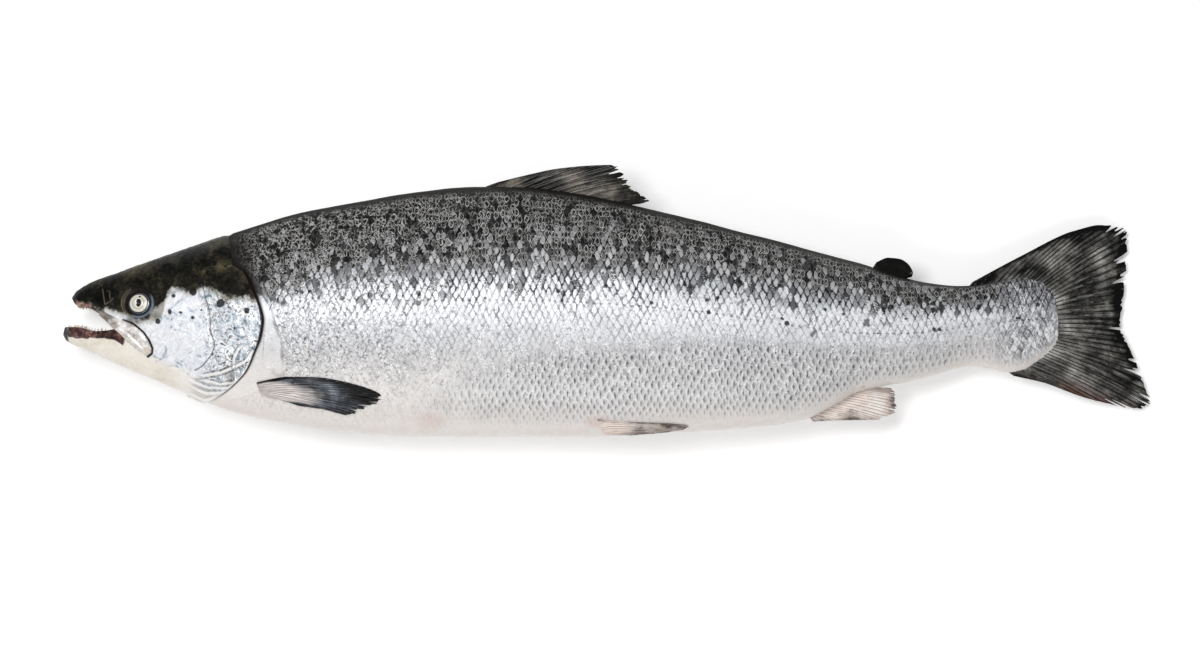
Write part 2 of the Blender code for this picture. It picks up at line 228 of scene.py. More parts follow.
def near_line(x, y, line):
    """Distance to a polyline."""
    best = np.full(np.shape(x), 1e9)
    for (x0, y0), (x1, y1) in zip(line, line[1:]):
        dx, dy = x1 - x0, y1 - y0
        t = np.clip(((x - x0) * dx + (y - y0) * dy) / (dx * dx + dy * dy), 0, 1)
        best = np.minimum(best, np.hypot(x - x0 - t * dx, y - y0 - t * dy))
    return best


def near_spots(x, y, spots):
    """Signed distance to the nearest of some round spots (x, y, radius), negative inside."""
    best = np.full(np.shape(x), 99.0)
    for sx, sy, radius in spots:
        best = np.minimum(best, np.hypot(x - sx, y - sy) - radius)
    return best


# ---- making meshes ----


def grid_quads(rows, columns, wrap=False, start=0):
    """Corner numbers of the quads of a grid of vertices, row after row."""
    i, j = np.meshgrid(np.arange(rows - 1), np.arange(columns if wrap else columns - 1), indexing="ij")
    k = (j + 1) % columns
    quads = np.stack([i * columns + j, i * columns + k, (i + 1) * columns + k, (i + 1) * columns + j], -1)
    return quads.reshape(-1, 4) + start


def make_piece(name, vertices, faces, finish, slot, replaces=(), uv=None, normals=None, **fields):
    """Mesh piece on the one body, from arrays: vertices (n, 3) in metres, quads (m, 4), and for
    each vertex an optional UV, a normal and named numbers that its material reads."""
    vertices = np.asarray(vertices, np.float32).reshape(-1, 3)
    mesh = bpy.data.meshes.new(name)
    mesh.vertices.add(len(vertices))
    mesh.vertices.foreach_set("co", vertices.ravel())
    mesh.loops.add(faces.size)
    mesh.loops.foreach_set("vertex_index", faces.ravel().astype(np.int32))
    mesh.polygons.add(len(faces))
    mesh.polygons.foreach_set("loop_start", np.arange(0, faces.size, 4, dtype=np.int32))
    mesh.update(calc_edges=True)
    mesh.shade_smooth()
    if uv is not None:
        layer = mesh.uv_layers.new(name="Skin")
        layer.data.foreach_set("uv", np.asarray(uv, np.float32).reshape(-1, 2)[faces.ravel()].ravel())
    for field, values in fields.items():
        attribute = mesh.attributes.new(field, "FLOAT", "POINT")
        attribute.data.foreach_set("value", np.broadcast_to(values, len(vertices)).astype(np.float32))
    mesh.validate(clean_customdata=False)
    if normals is not None:
        mesh.normals_split_custom_set_from_vertices(normals.reshape(-1, 3).tolist())
    mesh.materials.append(finish)
    piece = bpy.data.objects.new(name, mesh)
    bpy.context.scene.collection.objects.link(piece)
    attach(piece, "root")
    if replaces:
        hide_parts(*replaces)
    return piece


# ---- shader maths ----


class Value:
    """A socket in an expression. Operators on values add Math nodes to its material."""

    def __init__(self, maker, socket):
        self.maker, self.socket = maker, socket

    def math(self, operation, *others):
        return self.maker.math(operation, self, *others)

    def __add__(self, other):
        return self.math("ADD", other)

    def __sub__(self, other):
        return self.math("SUBTRACT", other)

    def __rsub__(self, other):
        return self.maker.math("SUBTRACT", other, self)

    def __mul__(self, other):
        return self.math("MULTIPLY", other)

    def __truediv__(self, other):
        return self.math("DIVIDE", other)

    def __neg__(self):
        return self * -1

    __radd__, __rmul__ = __add__, __mul__

    def floor(self):
        return self.math("FLOOR")

    def abs(self):
        return self.math("ABSOLUTE")

    def sin(self):
        return self.math("SINE")

    def power(self, exponent):
        return self.math("POWER", exponent)

    def least(self, other):
        return self.math("MINIMUM", other)

    def most(self, other):
        return self.math("MAXIMUM", other)

    def step(self, low, high):
        """Soft step from 0 at low to 1 at high; high may be the smaller one."""
        flip = low > high
        node = self.maker.node(
            "ShaderNodeMapRange",
            {"interpolation_type": "SMOOTHSTEP"},
            {"Value": self, "From Min": min(low, high), "From Max": max(low, high)},
        )
        ramp = Value(self.maker, node.outputs["Result"])
        return 1 - ramp if flip else ramp


class Finish:
    """A material under construction: one Principled shader and the nodes that feed it."""

    def __init__(self, name, roughness=0.3, metallic=0.0, coat=0.0, coat_roughness=0.1):
        self.material = bpy.data.materials.new(name)
        self.material.use_nodes = True
        self.tree = self.material.node_tree
        self.shader = self.tree.nodes["Principled BSDF"]
        self.feed("Roughness", roughness)
        self.feed("Metallic", metallic)
        self.feed("Coat Weight", coat)
        self.feed("Coat Roughness", coat_roughness)

    def node(self, kind, settings=None, values=None):
        """Any node: its settings are set first, then the numbers or links of its sockets."""
        node = self.tree.nodes.new(kind)
        for key, setting in (settings or {}).items():
            if key == "stops":
                self.stops(node.color_ramp, setting)
            else:
                setattr(node, key, setting)
        for key, value in (values or {}).items():
            self.join(value, node.inputs[key])
        return node

    def stops(self, ramp, stops):
        """Colour stops (place, colour) of a ramp."""
        while len(ramp.elements) < len(stops):
            ramp.elements.new(1.0)
        for element, (place, colour) in zip(ramp.elements, stops):
            element.position = place
            element.color = (*colour, 1)

    def join(self, value, socket):
        if isinstance(value, Value):
            self.tree.links.new(value.socket, socket)
        elif isinstance(value, tuple) and socket.type == "RGBA" and len(value) == 3:
            socket.default_value = (*value, 1)
        else:
            socket.default_value = value

    def feed(self, name, value):
        self.join(value, self.shader.inputs[name])

    def math(self, operation, *values):
        node = self.node("ShaderNodeMath", {"operation": operation}, dict(enumerate(values)))
        return Value(self, node.outputs[0])

    def field(self, name):
        """A number that the mesh carries at each vertex."""
        return Value(self, self.node("ShaderNodeAttribute", {"attribute_name": name}).outputs["Fac"])

    def surface_place(self):
        """The two coordinates of the piece's own map, in millimetres."""
        uv = self.node("ShaderNodeUVMap", {"uv_map": "Skin"})
        parts = self.node("ShaderNodeSeparateXYZ", None, {0: Value(self, uv.outputs[0])})
        return Value(self, parts.outputs[0]) * 1000, Value(self, parts.outputs[1]) * 1000

    def vector(self, x, y, z=0.0):
        return Value(self, self.node("ShaderNodeCombineXYZ", None, {0: x, 1: y, 2: z}).outputs[0])

    def object_place(self, scale=(1, 1, 1)):
        """Object coordinates in metres, stretched by a scale."""
        place = Value(self, self.node("ShaderNodeTexCoord").outputs["Object"])
        node = self.node("ShaderNodeMapping", None, {"Vector": place, "Scale": scale})
        return Value(self, node.outputs[0])

    def noise(self, where, scale, detail=3.0, roughness=0.55, warp=0.0):
        """Fractal noise about 0, between about -0.5 and 0.5; a warp makes it swirl."""
        values = {
            "Vector": where, "Scale": scale, "Detail": detail, "Roughness": roughness, "Distortion": warp,
        }
        return Value(self, self.node("ShaderNodeTexNoise", None, values).outputs["Fac"]) - 0.5

    def chance(self, where):
        """One random number from 0 to 1 for each whole-number place."""
        return Value(self, self.node("ShaderNodeTexWhiteNoise", None, {"Vector": where}).outputs["Value"])

    def ramp(self, value, *stops, ease="LINEAR"):
        """Colour read from stops by a value from 0 to 1."""
        node = self.node("ShaderNodeValToRGB", None, {"Fac": value})
        node.color_ramp.interpolation = ease
        self.stops(node.color_ramp, stops)
        return Value(self, node.outputs["Color"])

    def mix(self, share, low, high, blend="MIX"):
        """Colour low to high by a share."""
        node = self.node("ShaderNodeMix", {"data_type": "RGBA", "blend_type": blend})
        self.join(share, node.inputs[0])
        self.join(low, node.inputs[6])
        self.join(high, node.inputs[7])
        return Value(self, node.outputs[2])

    def bump(self, height, distance, strength=1.0):
        """Sends a fine relief to the shader's normal; distance is in metres for a height of 1."""
        values = {"Height": height, "Distance": distance, "Strength": strength}
        self.feed("Normal", Value(self, self.node("ShaderNodeBump", None, values).outputs[0]))


def tone(red, green, blue):
    """Linear colour from display levels of 0 to 255."""
    levels = np.array([red, green, blue]) / 255
    linear = np.where(levels <= 0.04045, levels / 12.92, ((levels + 0.055) / 1.055) ** 2.4)
    return tuple(float(level) for level in linear)


# ---- finishes ----

RAY_UNIT = 3.0  # across a fin's map, for each ray


def scaled_skin():
    """Wet scales on the flank's own lattice, read from the piece's map. Each scale is a rounded
    diamond: dark with a thin pale rim on the back, bright with a dark outline along the side, where
    the silver is brightened by a painted highlight of the lamp above, grey with a darker heart under
    it, where the grey is a painted dimmer reflection of the flank turned from the lamp, and nearly
    even cream on the belly."""
    skin = Finish("scaled_skin", coat_roughness=0.1)
    skin.feed("Specular IOR Level", 0.05)
    x, y = skin.surface_place()
    rise, scaly = skin.field("rise"), skin.field("scaly")
    grey, front = skin.field("grey"), skin.field("front")
    body = skin.object_place()
    broad = skin.noise(body, 22, 3)
    patch = skin.noise(body, 75, 3, 0.6)
    fine = skin.noise(body, 700, 3, 0.7)
    grain = skin.noise(body, 330, 2, 0.6)
    # each scale's outline is uneven, and more so just behind the head
    bent = skin.noise(body, 290, 2, 0.5) * (2.0 + front * 3.0)
    x = x + bent
    y = y + grain * (2.2 + front * 4.0)
    a = x / SCALE_PITCH + y / SCALE_TALL
    b = x / SCALE_PITCH - y / SCALE_TALL
    cell_a, cell_b = a.floor(), b.floor()
    part_a, part_b = a - cell_a, b - cell_b
    luck = [skin.chance(skin.vector(cell_a, cell_b, float(n))) for n in range(4)]
    lengthwise = part_a + part_b - 1 + (luck[2] - 0.5) * 0.22
    upright = part_a - part_b + (luck[3] - 0.5) * 0.22
    edge = (lengthwise.abs().power(ROUNDNESS) + upright.abs().power(ROUNDNESS)).power(1 / ROUNDNESS)
    level = rise + broad * 0.22 + patch * 0.24 + (luck[0] - 0.5) * 0.14
    place = level * 0.5 + 0.5
    # tones by level, with painted light in them: the bright band (0.40 to 0.57) is the silver plus a painted
    # highlight of the lamp above, and the grey below it (0.30) a painted dimmer reflection
    inner = skin.ramp(
        place,
        (0.0, tone(229, 221, 215)), (0.06, tone(234, 229, 225)), (0.14, tone(226, 222, 219)),
        (0.30, tone(212, 211, 212)), (0.40, tone(224, 225, 229)), (0.50, tone(244, 246, 249)),
        (0.57, tone(238, 240, 244)), (0.62, tone(210, 213, 218)), (0.66, tone(178, 180, 185)),
        (0.70, tone(136, 137, 140)), (0.745, tone(88, 88, 89)), (0.80, tone(48, 47, 46)),
        (0.88, tone(38, 37, 36)), (0.96, tone(32, 31, 29)),
    )
    gap = skin.ramp(
        place,
        (0.0, tone(222, 211, 204)), (0.14, tone(216, 210, 205)), (0.30, tone(178, 178, 180)),
        (0.42, tone(176, 179, 184)), (0.50, tone(150, 153, 158)), (0.56, tone(118, 120, 125)),
        (0.61, tone(66, 67, 70)), (0.66, tone(34, 34, 35)), (0.72, tone(22, 22, 22)),
        (0.80, tone(17, 17, 16)), (0.92, tone(24, 24, 23)), (1.0, tone(34, 33, 32)),
    )
    dark = level.step(0.34, 0.52)
    worn = (patch * 2.2 + fine * 1.5 + luck[1] * 0.8 + level.step(0.05, 0.35) * 0.5).step(0.05, 0.75)
    outline = edge.step(0.62, 0.76) * (0.15 + worn * 0.85) * scaly
    colour = skin.mix(outline, inner, gap)
    # on the back thin pale rims follow the scales, broken up, with fine squiggles between
    rim = edge.step(0.50, 0.58) * edge.step(0.76, 0.66) * (luck[0] * 0.6 + grain * 2.2 + 0.25).step(0.15, 0.6)
    curl = skin.noise(body, 300, 1, 0.5).abs().step(0.05, 0.015) * (patch * 2 + 0.7).step(0.3, 0.7)
    pale = rim.most(curl * (0.45 + front * 0.4)) * dark * scaly
    colour = skin.mix((pale * (0.55 + luck[1] * 0.4 + fine * 2.2)).least(0.95), colour, tone(196, 195, 194))
    # scales that catch the light, and others in shade, most of them where dark meets silver
    meet = level.step(0.02, 0.30) * level.step(0.95, 0.45)
    glint = (luck[1] + front * 0.1).step(0.55, 0.85) * edge.step(0.62, 0.42) * meet * scaly
    colour = skin.mix(glint * 0.66, colour, tone(218, 221, 226))
    shade = (luck[2] + front * 0.06).step(0.80, 0.92) * edge.step(0.90, 0.62)
    shade = shade * level.step(-0.02, 0.22) * scaly
    colour = skin.mix(shade * 0.85, colour, tone(18, 18, 19))
    # under the silver, in the grey of a painted dimmer reflection, each scale has a darker heart and pale
    # slanting edges
    heart = (lengthwise + 0.25).abs() + upright.abs() * 0.55
    greyed = grey * scaly
    rims = skin.mix(edge.step(0.55, 0.72), tone(172, 172, 174), tone(222, 222, 224))
    colour = skin.mix(greyed * 0.7, colour, rims)
    colour = skin.mix(heart.step(0.50, 0.10) * greyed * (0.5 + luck[0] * 0.5), colour, tone(66, 66, 68))
    silver = level.step(0.55, 0.30) * level.step(-1.05, -0.3)
    # painted highlights: white sparkles over the silver
    painted_sparkle = (fine * 1.3 + luck[3] * 0.28).step(0.22, 0.42) * silver
    colour = skin.mix(painted_sparkle * 0.8, colour, tone(255, 255, 255))
    speck = (grain * 1.1 + fine * 1.2).step(-0.06, -0.28) * silver
    speck = speck * (0.5 + front * 0.3) * (0.25 + scaly * 0.75)
    squiggle = skin.noise(body, 240, 2, 0.5).abs().step(0.045, 0.012) * silver * scaly * (0.18 + front * 0.42)
    colour = skin.mix(squiggle, colour, tone(128, 130, 136))
    colour = skin.mix(speck, colour, tone(84, 85, 89))
    # at the tail's root small scales glitter: painted glints and shade from a foil-like pattern
    root = skin.field("root")
    slant = skin.noise(skin.vector(a * 0.8, b * 4.5), 1.0, 2, 0.6)
    foil = slant.most(skin.noise(skin.vector(a * 4.5, b * 0.8, 5.0), 1.0, 2, 0.6))
    shine = foil * 1.5 + grain * 0.5 + fine * 0.8 + luck[0] * 0.25
    painted_glitter = skin.ramp(
        shine + rise.step(0.9, -0.3) * 0.2 + 0.24 - outline * 0.25,
        (0.15, tone(34, 34, 36)), (0.38, tone(104, 104, 108)), (0.58, tone(176, 178, 183)),
        (0.8, tone(252, 252, 253)),
    )
    colour = skin.mix(root * 0.8, colour, painted_glitter)
    # dotted pores of the lateral line
    dash = ((x / SCALE_PITCH + 0.3) * (2 * math.pi)).sin().step(-0.4, 0.4)
    line = skin.field("line_away").abs().step(0.75, 0.25) * dash * (0.35 + luck[0] * 0.65)
    colour = skin.mix(line * 0.75, colour, tone(62, 62, 64))
    # dark spots with broken edges, small marks, and behind the gill cover a dark-red gap: painted shadow under
    # the cover's free edge
    ragged = skin.noise(body, 320, 2) * 3.2
    spot = (skin.field("spot") + ragged).step(0.6, -0.3)
    colour = skin.mix(spot * 0.92, colour, tone(22, 22, 22))
    colour = skin.mix(skin.field("mark"), colour, tone(70, 68, 68))
    rubbed = skin.field("rubbed") * (0.25 + grain * 2.2 + patch).step(0.0, 0.5)
    colour = skin.mix(rubbed * 0.7, colour, tone(150, 146, 140))
    blush = skin.field("blush") * (0.6 + patch * 1.5)
    colour = skin.mix(blush, colour, tone(206, 160, 150))
    colour = skin.mix(skin.field("slit"), colour, tone(40, 27, 24))
    skin.feed("Base Color", colour)
    skin.feed("Metallic", rise.step(-0.6, -0.1) * rise.step(0.5, 0.3) * 0.08)
    skin.feed("Coat Weight", 0.08 + 0.3 * level.step(0.45, 0.25) - rise.step(0.7, 0.95) * 0.07)
    skin.feed("Roughness", 0.38 + fine * 0.14 - dark * 0.10 + rise.step(0.7, 0.95) * 0.3)
    skin.bump(edge.step(0.9, 0.6) * scaly * 0.7 + fine * 0.5, 0.00022)
    return skin.material


def head_skin_finish():
    """Smooth wet skin of the head: olive-black cap, silver cheek with bluish swirls and black
    spots, cream throat, and the dark-red flesh along the lower jaw."""
    skin = Finish("head_skin", roughness=0.3, coat_roughness=0.08)
    skin.feed("Specular IOR Level", 0.05)
    body = skin.object_place()
    cap, throat, bony = skin.field("cap"), skin.field("throat"), skin.field("bony")
    broad = skin.noise(body, 60, 4)
    wide = skin.noise(body, 26, 3)
    fine = skin.noise(body, 420, 4, 0.65)
    grain = skin.noise(body, 1100, 2, 0.6)
    swirl = skin.noise(body, 85, 4, 0.62, warp=1.6)
    silver = skin.ramp(
        swirl + fine * 0.25 + 0.5 - bony * 0.05,
        (0.26, tone(104, 118, 128)), (0.36, tone(168, 178, 188)), (0.44, tone(222, 227, 234)),
        (0.52, tone(244, 245, 250)), (0.66, tone(250, 250, 253)), (0.76, tone(226, 224, 238)),
    )
    # dark wrinkles of the skin over the gill cover
    wrinkle = skin.noise(body, 62, 2, 0.55, warp=2.0).abs().step(0.05, 0.02)
    wrinkle = wrinkle.most(skin.noise(body, 110, 2, 0.55, warp=2.4).abs().step(0.05, 0.02) * 0.8)
    wrinkle = wrinkle * (fine + swirl + 0.5).step(0.42, 0.62)
    silver = skin.mix(wrinkle * (0.2 + bony * 0.75), silver, tone(52, 60, 68))
    # painted highlights: thin white glossy streaks, mostly on the gill cover's bone
    gloss_highlight = (skin.noise(body, 74, 2, 0.55, warp=2.0) + 0.02).abs().step(0.026, 0.008)
    silver = skin.mix(gloss_highlight * bony * 0.8, silver, tone(255, 255, 255))
    lower = skin.field("lower")
    silver = skin.mix(lower * (swirl * 2.4 + fine + 0.42).step(0.2, 0.75) * 0.75, silver, tone(128, 130, 130))
    silver = skin.mix((grain + fine).step(-0.25, -0.45) * 0.4, silver, tone(96, 102, 110))
    cream = skin.ramp(
        broad + fine * 0.6 + 0.5,
        (0.2, tone(214, 204, 187)), (0.5, tone(236, 229, 217)), (0.8, tone(246, 242, 235)),
    )
    cream = skin.mix(skin.field("rear") * 0.8, cream, tone(240, 236, 232))
    dark = skin.ramp(
        broad * 1.1 + wide * 1.3 + fine * 0.6 + 0.52 + bony * 0.08,
        (0.30, tone(4, 4, 4)), (0.46, tone(13, 13, 11)), (0.58, tone(27, 26, 21)),
        (0.74, tone(58, 54, 40)), (0.92, tone(92, 86, 64)),
    )
    ragged = broad * 12 + fine * 7
    colour = skin.mix((throat + ragged).step(-4, 5), silver, cream)
    olive = (cap + broad * 14 + fine * 6 + skin.field("olive") * 7).step(-6, 2)
    colour = skin.mix(olive * 0.7, colour, tone(116, 107, 80))
    colour = skin.mix((cap + ragged - skin.field("olive") * 5).step(-1.6, 2.2), colour, dark)
    flesh = skin.ramp(
        fine * 1.2 + broad + 0.5,
        (0.22, tone(26, 18, 18)), (0.45, tone(68, 45, 43)), (0.62, tone(112, 80, 75)),
        (0.8, tone(160, 126, 118)),
    )
    colour = skin.mix(skin.field("lip"), colour, flesh)
    colour = skin.mix(skin.field("strip") * 0.85, colour, skin.ramp(
        fine * 1.3 + 0.5, (0.28, tone(24, 22, 21)), (0.5, tone(84, 79, 75)), (0.72, tone(150, 142, 136))
    ))
    colour = skin.mix(skin.field("pink") * 0.8, colour, skin.ramp(
        fine * 1.3 + 0.5, (0.25, tone(72, 50, 46)), (0.5, tone(150, 118, 108)), (0.75, tone(206, 184, 172))
    ))
    colour = skin.mix(skin.field("black"), colour, tone(17, 17, 18))
    colour = skin.mix(skin.field("blue") * 0.8, colour, tone(118, 134, 146))
    colour = skin.mix(skin.field("pale_line"), colour, tone(242, 240, 238))
    # tan folds and lines, and the painted highlight along the gill cover's upper rim
    colour = skin.mix(skin.field("tan_line"), colour, tone(150, 141, 120))
    # dark lines of the cheek's bones and round the eye; on the gill covers also painted shade along the rear
    # edge and beside the raised seams and rays
    colour = skin.mix(skin.field("groove"), colour, tone(34, 27, 24))
    spot = (skin.field("spot") + skin.noise(body, 300, 2) * 2.0).step(0.4, -0.3)
    colour = skin.mix(spot * 0.94, colour, tone(17, 17, 19))
    skin.feed("Base Color", colour)
    skin.feed("Metallic", (throat + 4).step(4, -4) * cap.step(0, -8) * 0.1)
    skin.feed("Coat Weight", 0.16 + cap.step(0, -4) * 0.4)
    skin.feed("Roughness", 0.3 + fine * 0.2)
    skin.bump(swirl * 0.9 + fine * 0.7 - wrinkle * 0.3, 0.0005)
    return skin.material


def fin_finish(name, tones, pale, root=(0.0, 0.0), lead=0.5, lines=1.0, stain=0.0):
    """Fin skin: dark broken lines that run with the rays, streaks, blotches and a dark leading
    edge. The pale root reaches out over a share of the fin, root[0], and root[1] more at its
    trailing side; a stain colours that side."""
    fin = Finish(name, roughness=0.32, coat=0.25, coat_roughness=0.12)
    fin.feed("Specular IOR Level", 0.05)
    out, ray = fin.surface_place()
    body = fin.object_place()
    streak = fin.noise(fin.vector(out / 34, ray * 0.9), 1.0, 5, 0.65)
    thread = fin.noise(fin.vector(out / 50, ray * 3.0), 1.0, 3, 0.6)
    blotch = fin.noise(body, 42, 4, 0.6)
    fine = fin.noise(body, 600, 3, 0.6)
    share, across = fin.field("reach"), fin.field("across")
    mood = streak * 0.6 + thread * 0.4 + blotch * 1.4 + fine * 0.25 + 0.5
    mood = mood - share.step(0.88, 0.98) * across.step(0.75, 0.45) * lead * 0.45
    mood = mood - share.step(0.65, 1.0) * 0.16
    mood = mood - across.step(0.10, 0.02) * lead - across.step(0.93, 0.99) * lead * 0.4
    colour = fin.ramp(mood, *zip((0.26, 0.42, 0.58, 0.74), tones))
    stretch = root[0] + across * root[1] - share + blotch * 0.25 + streak * 0.16
    colour = fin.mix(stretch.step(-0.10, 0.16) * across.step(0.03, 0.10), colour, fin.ramp(
        blotch + streak * 0.5 + 0.5, (0.25, pale[0]), (0.7, pale[1])
    ))
    if stain:
        tint = across.step(0.74, 0.88) * across.step(0.98, 0.94) * share.step(0.25, 0.5)
        tint = tint * (blotch * 3 + 0.55).step(0.3, 0.8) * stain
        colour = fin.mix(tint, colour, tone(92, 56, 44))
    # two thin lines to a ray, wavering and broken along its length
    comb = ((ray / RAY_UNIT * 2 + thread * 0.5) * (2 * math.pi)).sin()
    broken = fin.noise(fin.vector(out / 9, ray * 0.7, 3.0), 1.0, 2, 0.6) + blotch * 0.6 + 0.12 + share * 0.1
    line = comb.step(0.35, 0.85) * broken.step(0.0, 0.15) * lines
    colour = fin.mix(line * 0.85, colour, tones[0])
    shine = comb.step(-0.6, -0.98) * (0.16 - broken).step(0.0, 0.2) * lines
    colour = fin.mix(shine * 0.35, colour, tones[3])
    fin.feed("Base Color", colour)
    fin.feed("Roughness", 0.36 + fine * 0.2)
    fin.bump(streak * 0.4 + thread * 0.4 + fine * 0.3 - line * 0.5, 0.0004)
    return fin.material


def eye_finish():
    """Eyeball: black pupil, pale gold iris with a bright inner ring, and a dark and bluish rim."""
    eye = Finish("eye_ball", roughness=0.18, coat=1.0, coat_roughness=0.03)
    ring = eye.field("ring")
    pupil = eye.field("pupil")
    grain = eye.noise(eye.object_place(), 900, 3)
    colour = eye.ramp(
        ring + grain * 0.05,
        (0.0, tone(196, 190, 172)), (0.34, tone(220, 216, 202)), (0.50, tone(186, 182, 168)),
        (0.64, tone(226, 222, 210)), (0.765, tone(214, 210, 198)), (0.795, tone(60, 60, 58)),
        (0.84, tone(20, 21, 22)), (0.90, tone(66, 76, 84)), (0.95, tone(92, 104, 112)),
        (1.0, tone(14, 15, 16)),
    )
    colour = eye.mix((pupil + grain * 0.3).step(1.34, 1.16) * 0.85, colour, tone(242, 239, 226))
    colour = eye.mix((pupil + grain * 0.2).step(1.06, 0.94), colour, tone(7, 7, 7))
    colour = eye.mix(eye.field("dot"), colour, tone(26, 24, 22))
    eye.feed("Base Color", colour)
    return eye.material


def flesh_finish():
    """Wet dark-red lining of the mouth, paler in the middle."""
    flesh = Finish("mouth_flesh", roughness=0.3, coat=0.7, coat_roughness=0.1)
    body = flesh.object_place()
    broad = flesh.noise(body, 120, 4)
    fine = flesh.noise(body, 700, 3)
    flesh.feed("Base Color", flesh.ramp(
        broad + fine * 0.6 + 0.5,
        (0.2, tone(58, 32, 30)), (0.5, tone(128, 84, 78)), (0.8, tone(188, 150, 140)),
    ))
    flesh.bump(broad + fine * 0.6, 0.0006)
    return flesh.material


def tooth_finish():
    """Bone-coloured teeth, stained at the root."""
    tooth = Finish("tooth", roughness=0.3, coat=0.5)
    stain = tooth.noise(tooth.object_place(), 600, 2)
    tooth.feed("Base Color", tooth.ramp(
        stain + 0.5, (0.3, tone(150, 120, 104)), (0.6, tone(214, 200, 180))
    ))
    return tooth.material


# ---- scaled skin of the trunk ----

TRUNK_START = 84.0
TRUNK_ROWS = 800
TRUNK_COLUMNS = 480
TRUNK_PIECES = 4
SCALE_RELIEF = 0.34

# Where the silver gives way to the grey of the lower side, as a share of the way to the belly;
# that grey is a painted dimmer reflection where the flank turns away from the lamp.
GREY_FROM = [
    (0, -0.75), (250, -0.60), (300, -0.44), (334, -0.35), (404, -0.28), (474, -0.16), (544, -0.2),
    (620, -0.35),
]
# How strongly that painted grey shows along the fish.
GREY_DEPTH = [(0, 0.0), (220, 0.15), (300, 0.8), (340, 1.0), (520, 1.0), (600, 0.7), (692, 0.5)]
# How much lower the dark of the back reaches than usual, as a share of the way from the line.
DARK_SHIFT = [
    (100, 0.5), (124, 0.44), (150, 0.3), (180, 0.2), (243, 0.17), (313, 0.12), (383, 0.07), (453, 0),
    (523, -0.1), (600, -0.12), (692, -0.1),
]
# Where the scales begin behind the head: (height, along). Below its middle it is the edge of the
# shoulder's bone, a dark crease.
SCALES_START = [
    (-70, 100), (-62, 112), (-56, 128), (-48, 146), (-39, 150), (-21, 148.5), (-11, 144), (0, 141.5),
    (13, 134), (23, 126), (35, 115), (46, 110), (60, 106),
]
SHOULDER = [(128, 24), (134, 13), (141.7, 0.4), (144.2, -11), (148.6, -21.3), (149.3, -38)]
# Small dark scratches and dashes on the flank: (along, height) of both ends and half a width.
SCRATCHES = [
    (464, 4, 468, 7.5, 0.35), (468, 7.5, 467, 1.5, 0.35), (466.5, -2.5, 468, 1, 0.4),
    (471, -3.5, 473.5, 1.5, 0.5), (476, 8, 475.8, 15, 0.3), (476, 8, 480, 9, 0.3),
    (553, -9.5, 555.5, -6.5, 1.0), (555.5, -10, 553.5, -7, 1.0), (516, -17, 518.5, -14, 0.9),
    (432, 17.6, 434.5, 16.4, 0.8), (330, 22, 329, 15, 0.6), (352, 31, 356, 24, 0.4),
]


def scale_relief(x, y):
    """Shingled scales: each rounded diamond rises to its rear edge and drops to the next there;
    every scale is tipped a little at random."""
    a, b = x / SCALE_PITCH + y / SCALE_TALL, x / SCALE_PITCH - y / SCALE_TALL
    cell_a, cell_b = np.floor(a).astype(int), np.floor(b).astype(int)
    part_a, part_b = a - cell_a, b - cell_b
    lengthwise, upright = part_a + part_b - 1, part_a - part_b
    edge = (np.abs(lengthwise) ** ROUNDNESS + np.abs(upright) ** ROUNDNESS) ** (1 / ROUNDNESS)
    luck = np.random.default_rng(17).random((2, 512, 512)) - 0.5
    tip = luck[0, cell_a % 512, cell_b % 512] * lengthwise + luck[1, cell_a % 512, cell_b % 512] * upright
    return (0.45 + 0.45 * lengthwise + 0.6 * tip) * fade(0.95, 0.66, edge)


def scale_lattice(along, arc):
    """The scales' own coordinates: the place along and the arc round the flank, stretched
    unevenly so that rows waver, more so just behind the head."""
    uneven = 1.0 + 0.8 * fade(240, 140, along)
    x = along + 3.6 * (value_noise(along, arc, 40, 41) - 0.5)
    x = x + 1.5 * uneven * (value_noise(along, arc, 9, 42) - 0.5)
    y = arc + 4.4 * (value_noise(along, arc, 44, 43) - 0.5)
    y = y + 2.2 * uneven * (value_noise(along, arc, 10, 44) - 0.5)
    return x, y


def trunk_spots():
    """Dark spots scattered over the flank above the lateral line, thinning out to the tail and
    downwards: (along, arc from the lateral line, radius), the same on both sides."""
    rng = np.random.default_rng(11)
    count = 130
    along = 128 + 550 * rng.random(count) ** 1.35
    arc = -3 + 74 * rng.random(count) ** 0.85 * (1 - (along - 128) / 800)
    radius = 0.7 + 1.3 * rng.random(count) ** 1.6
    return list(zip(along, arc, radius))


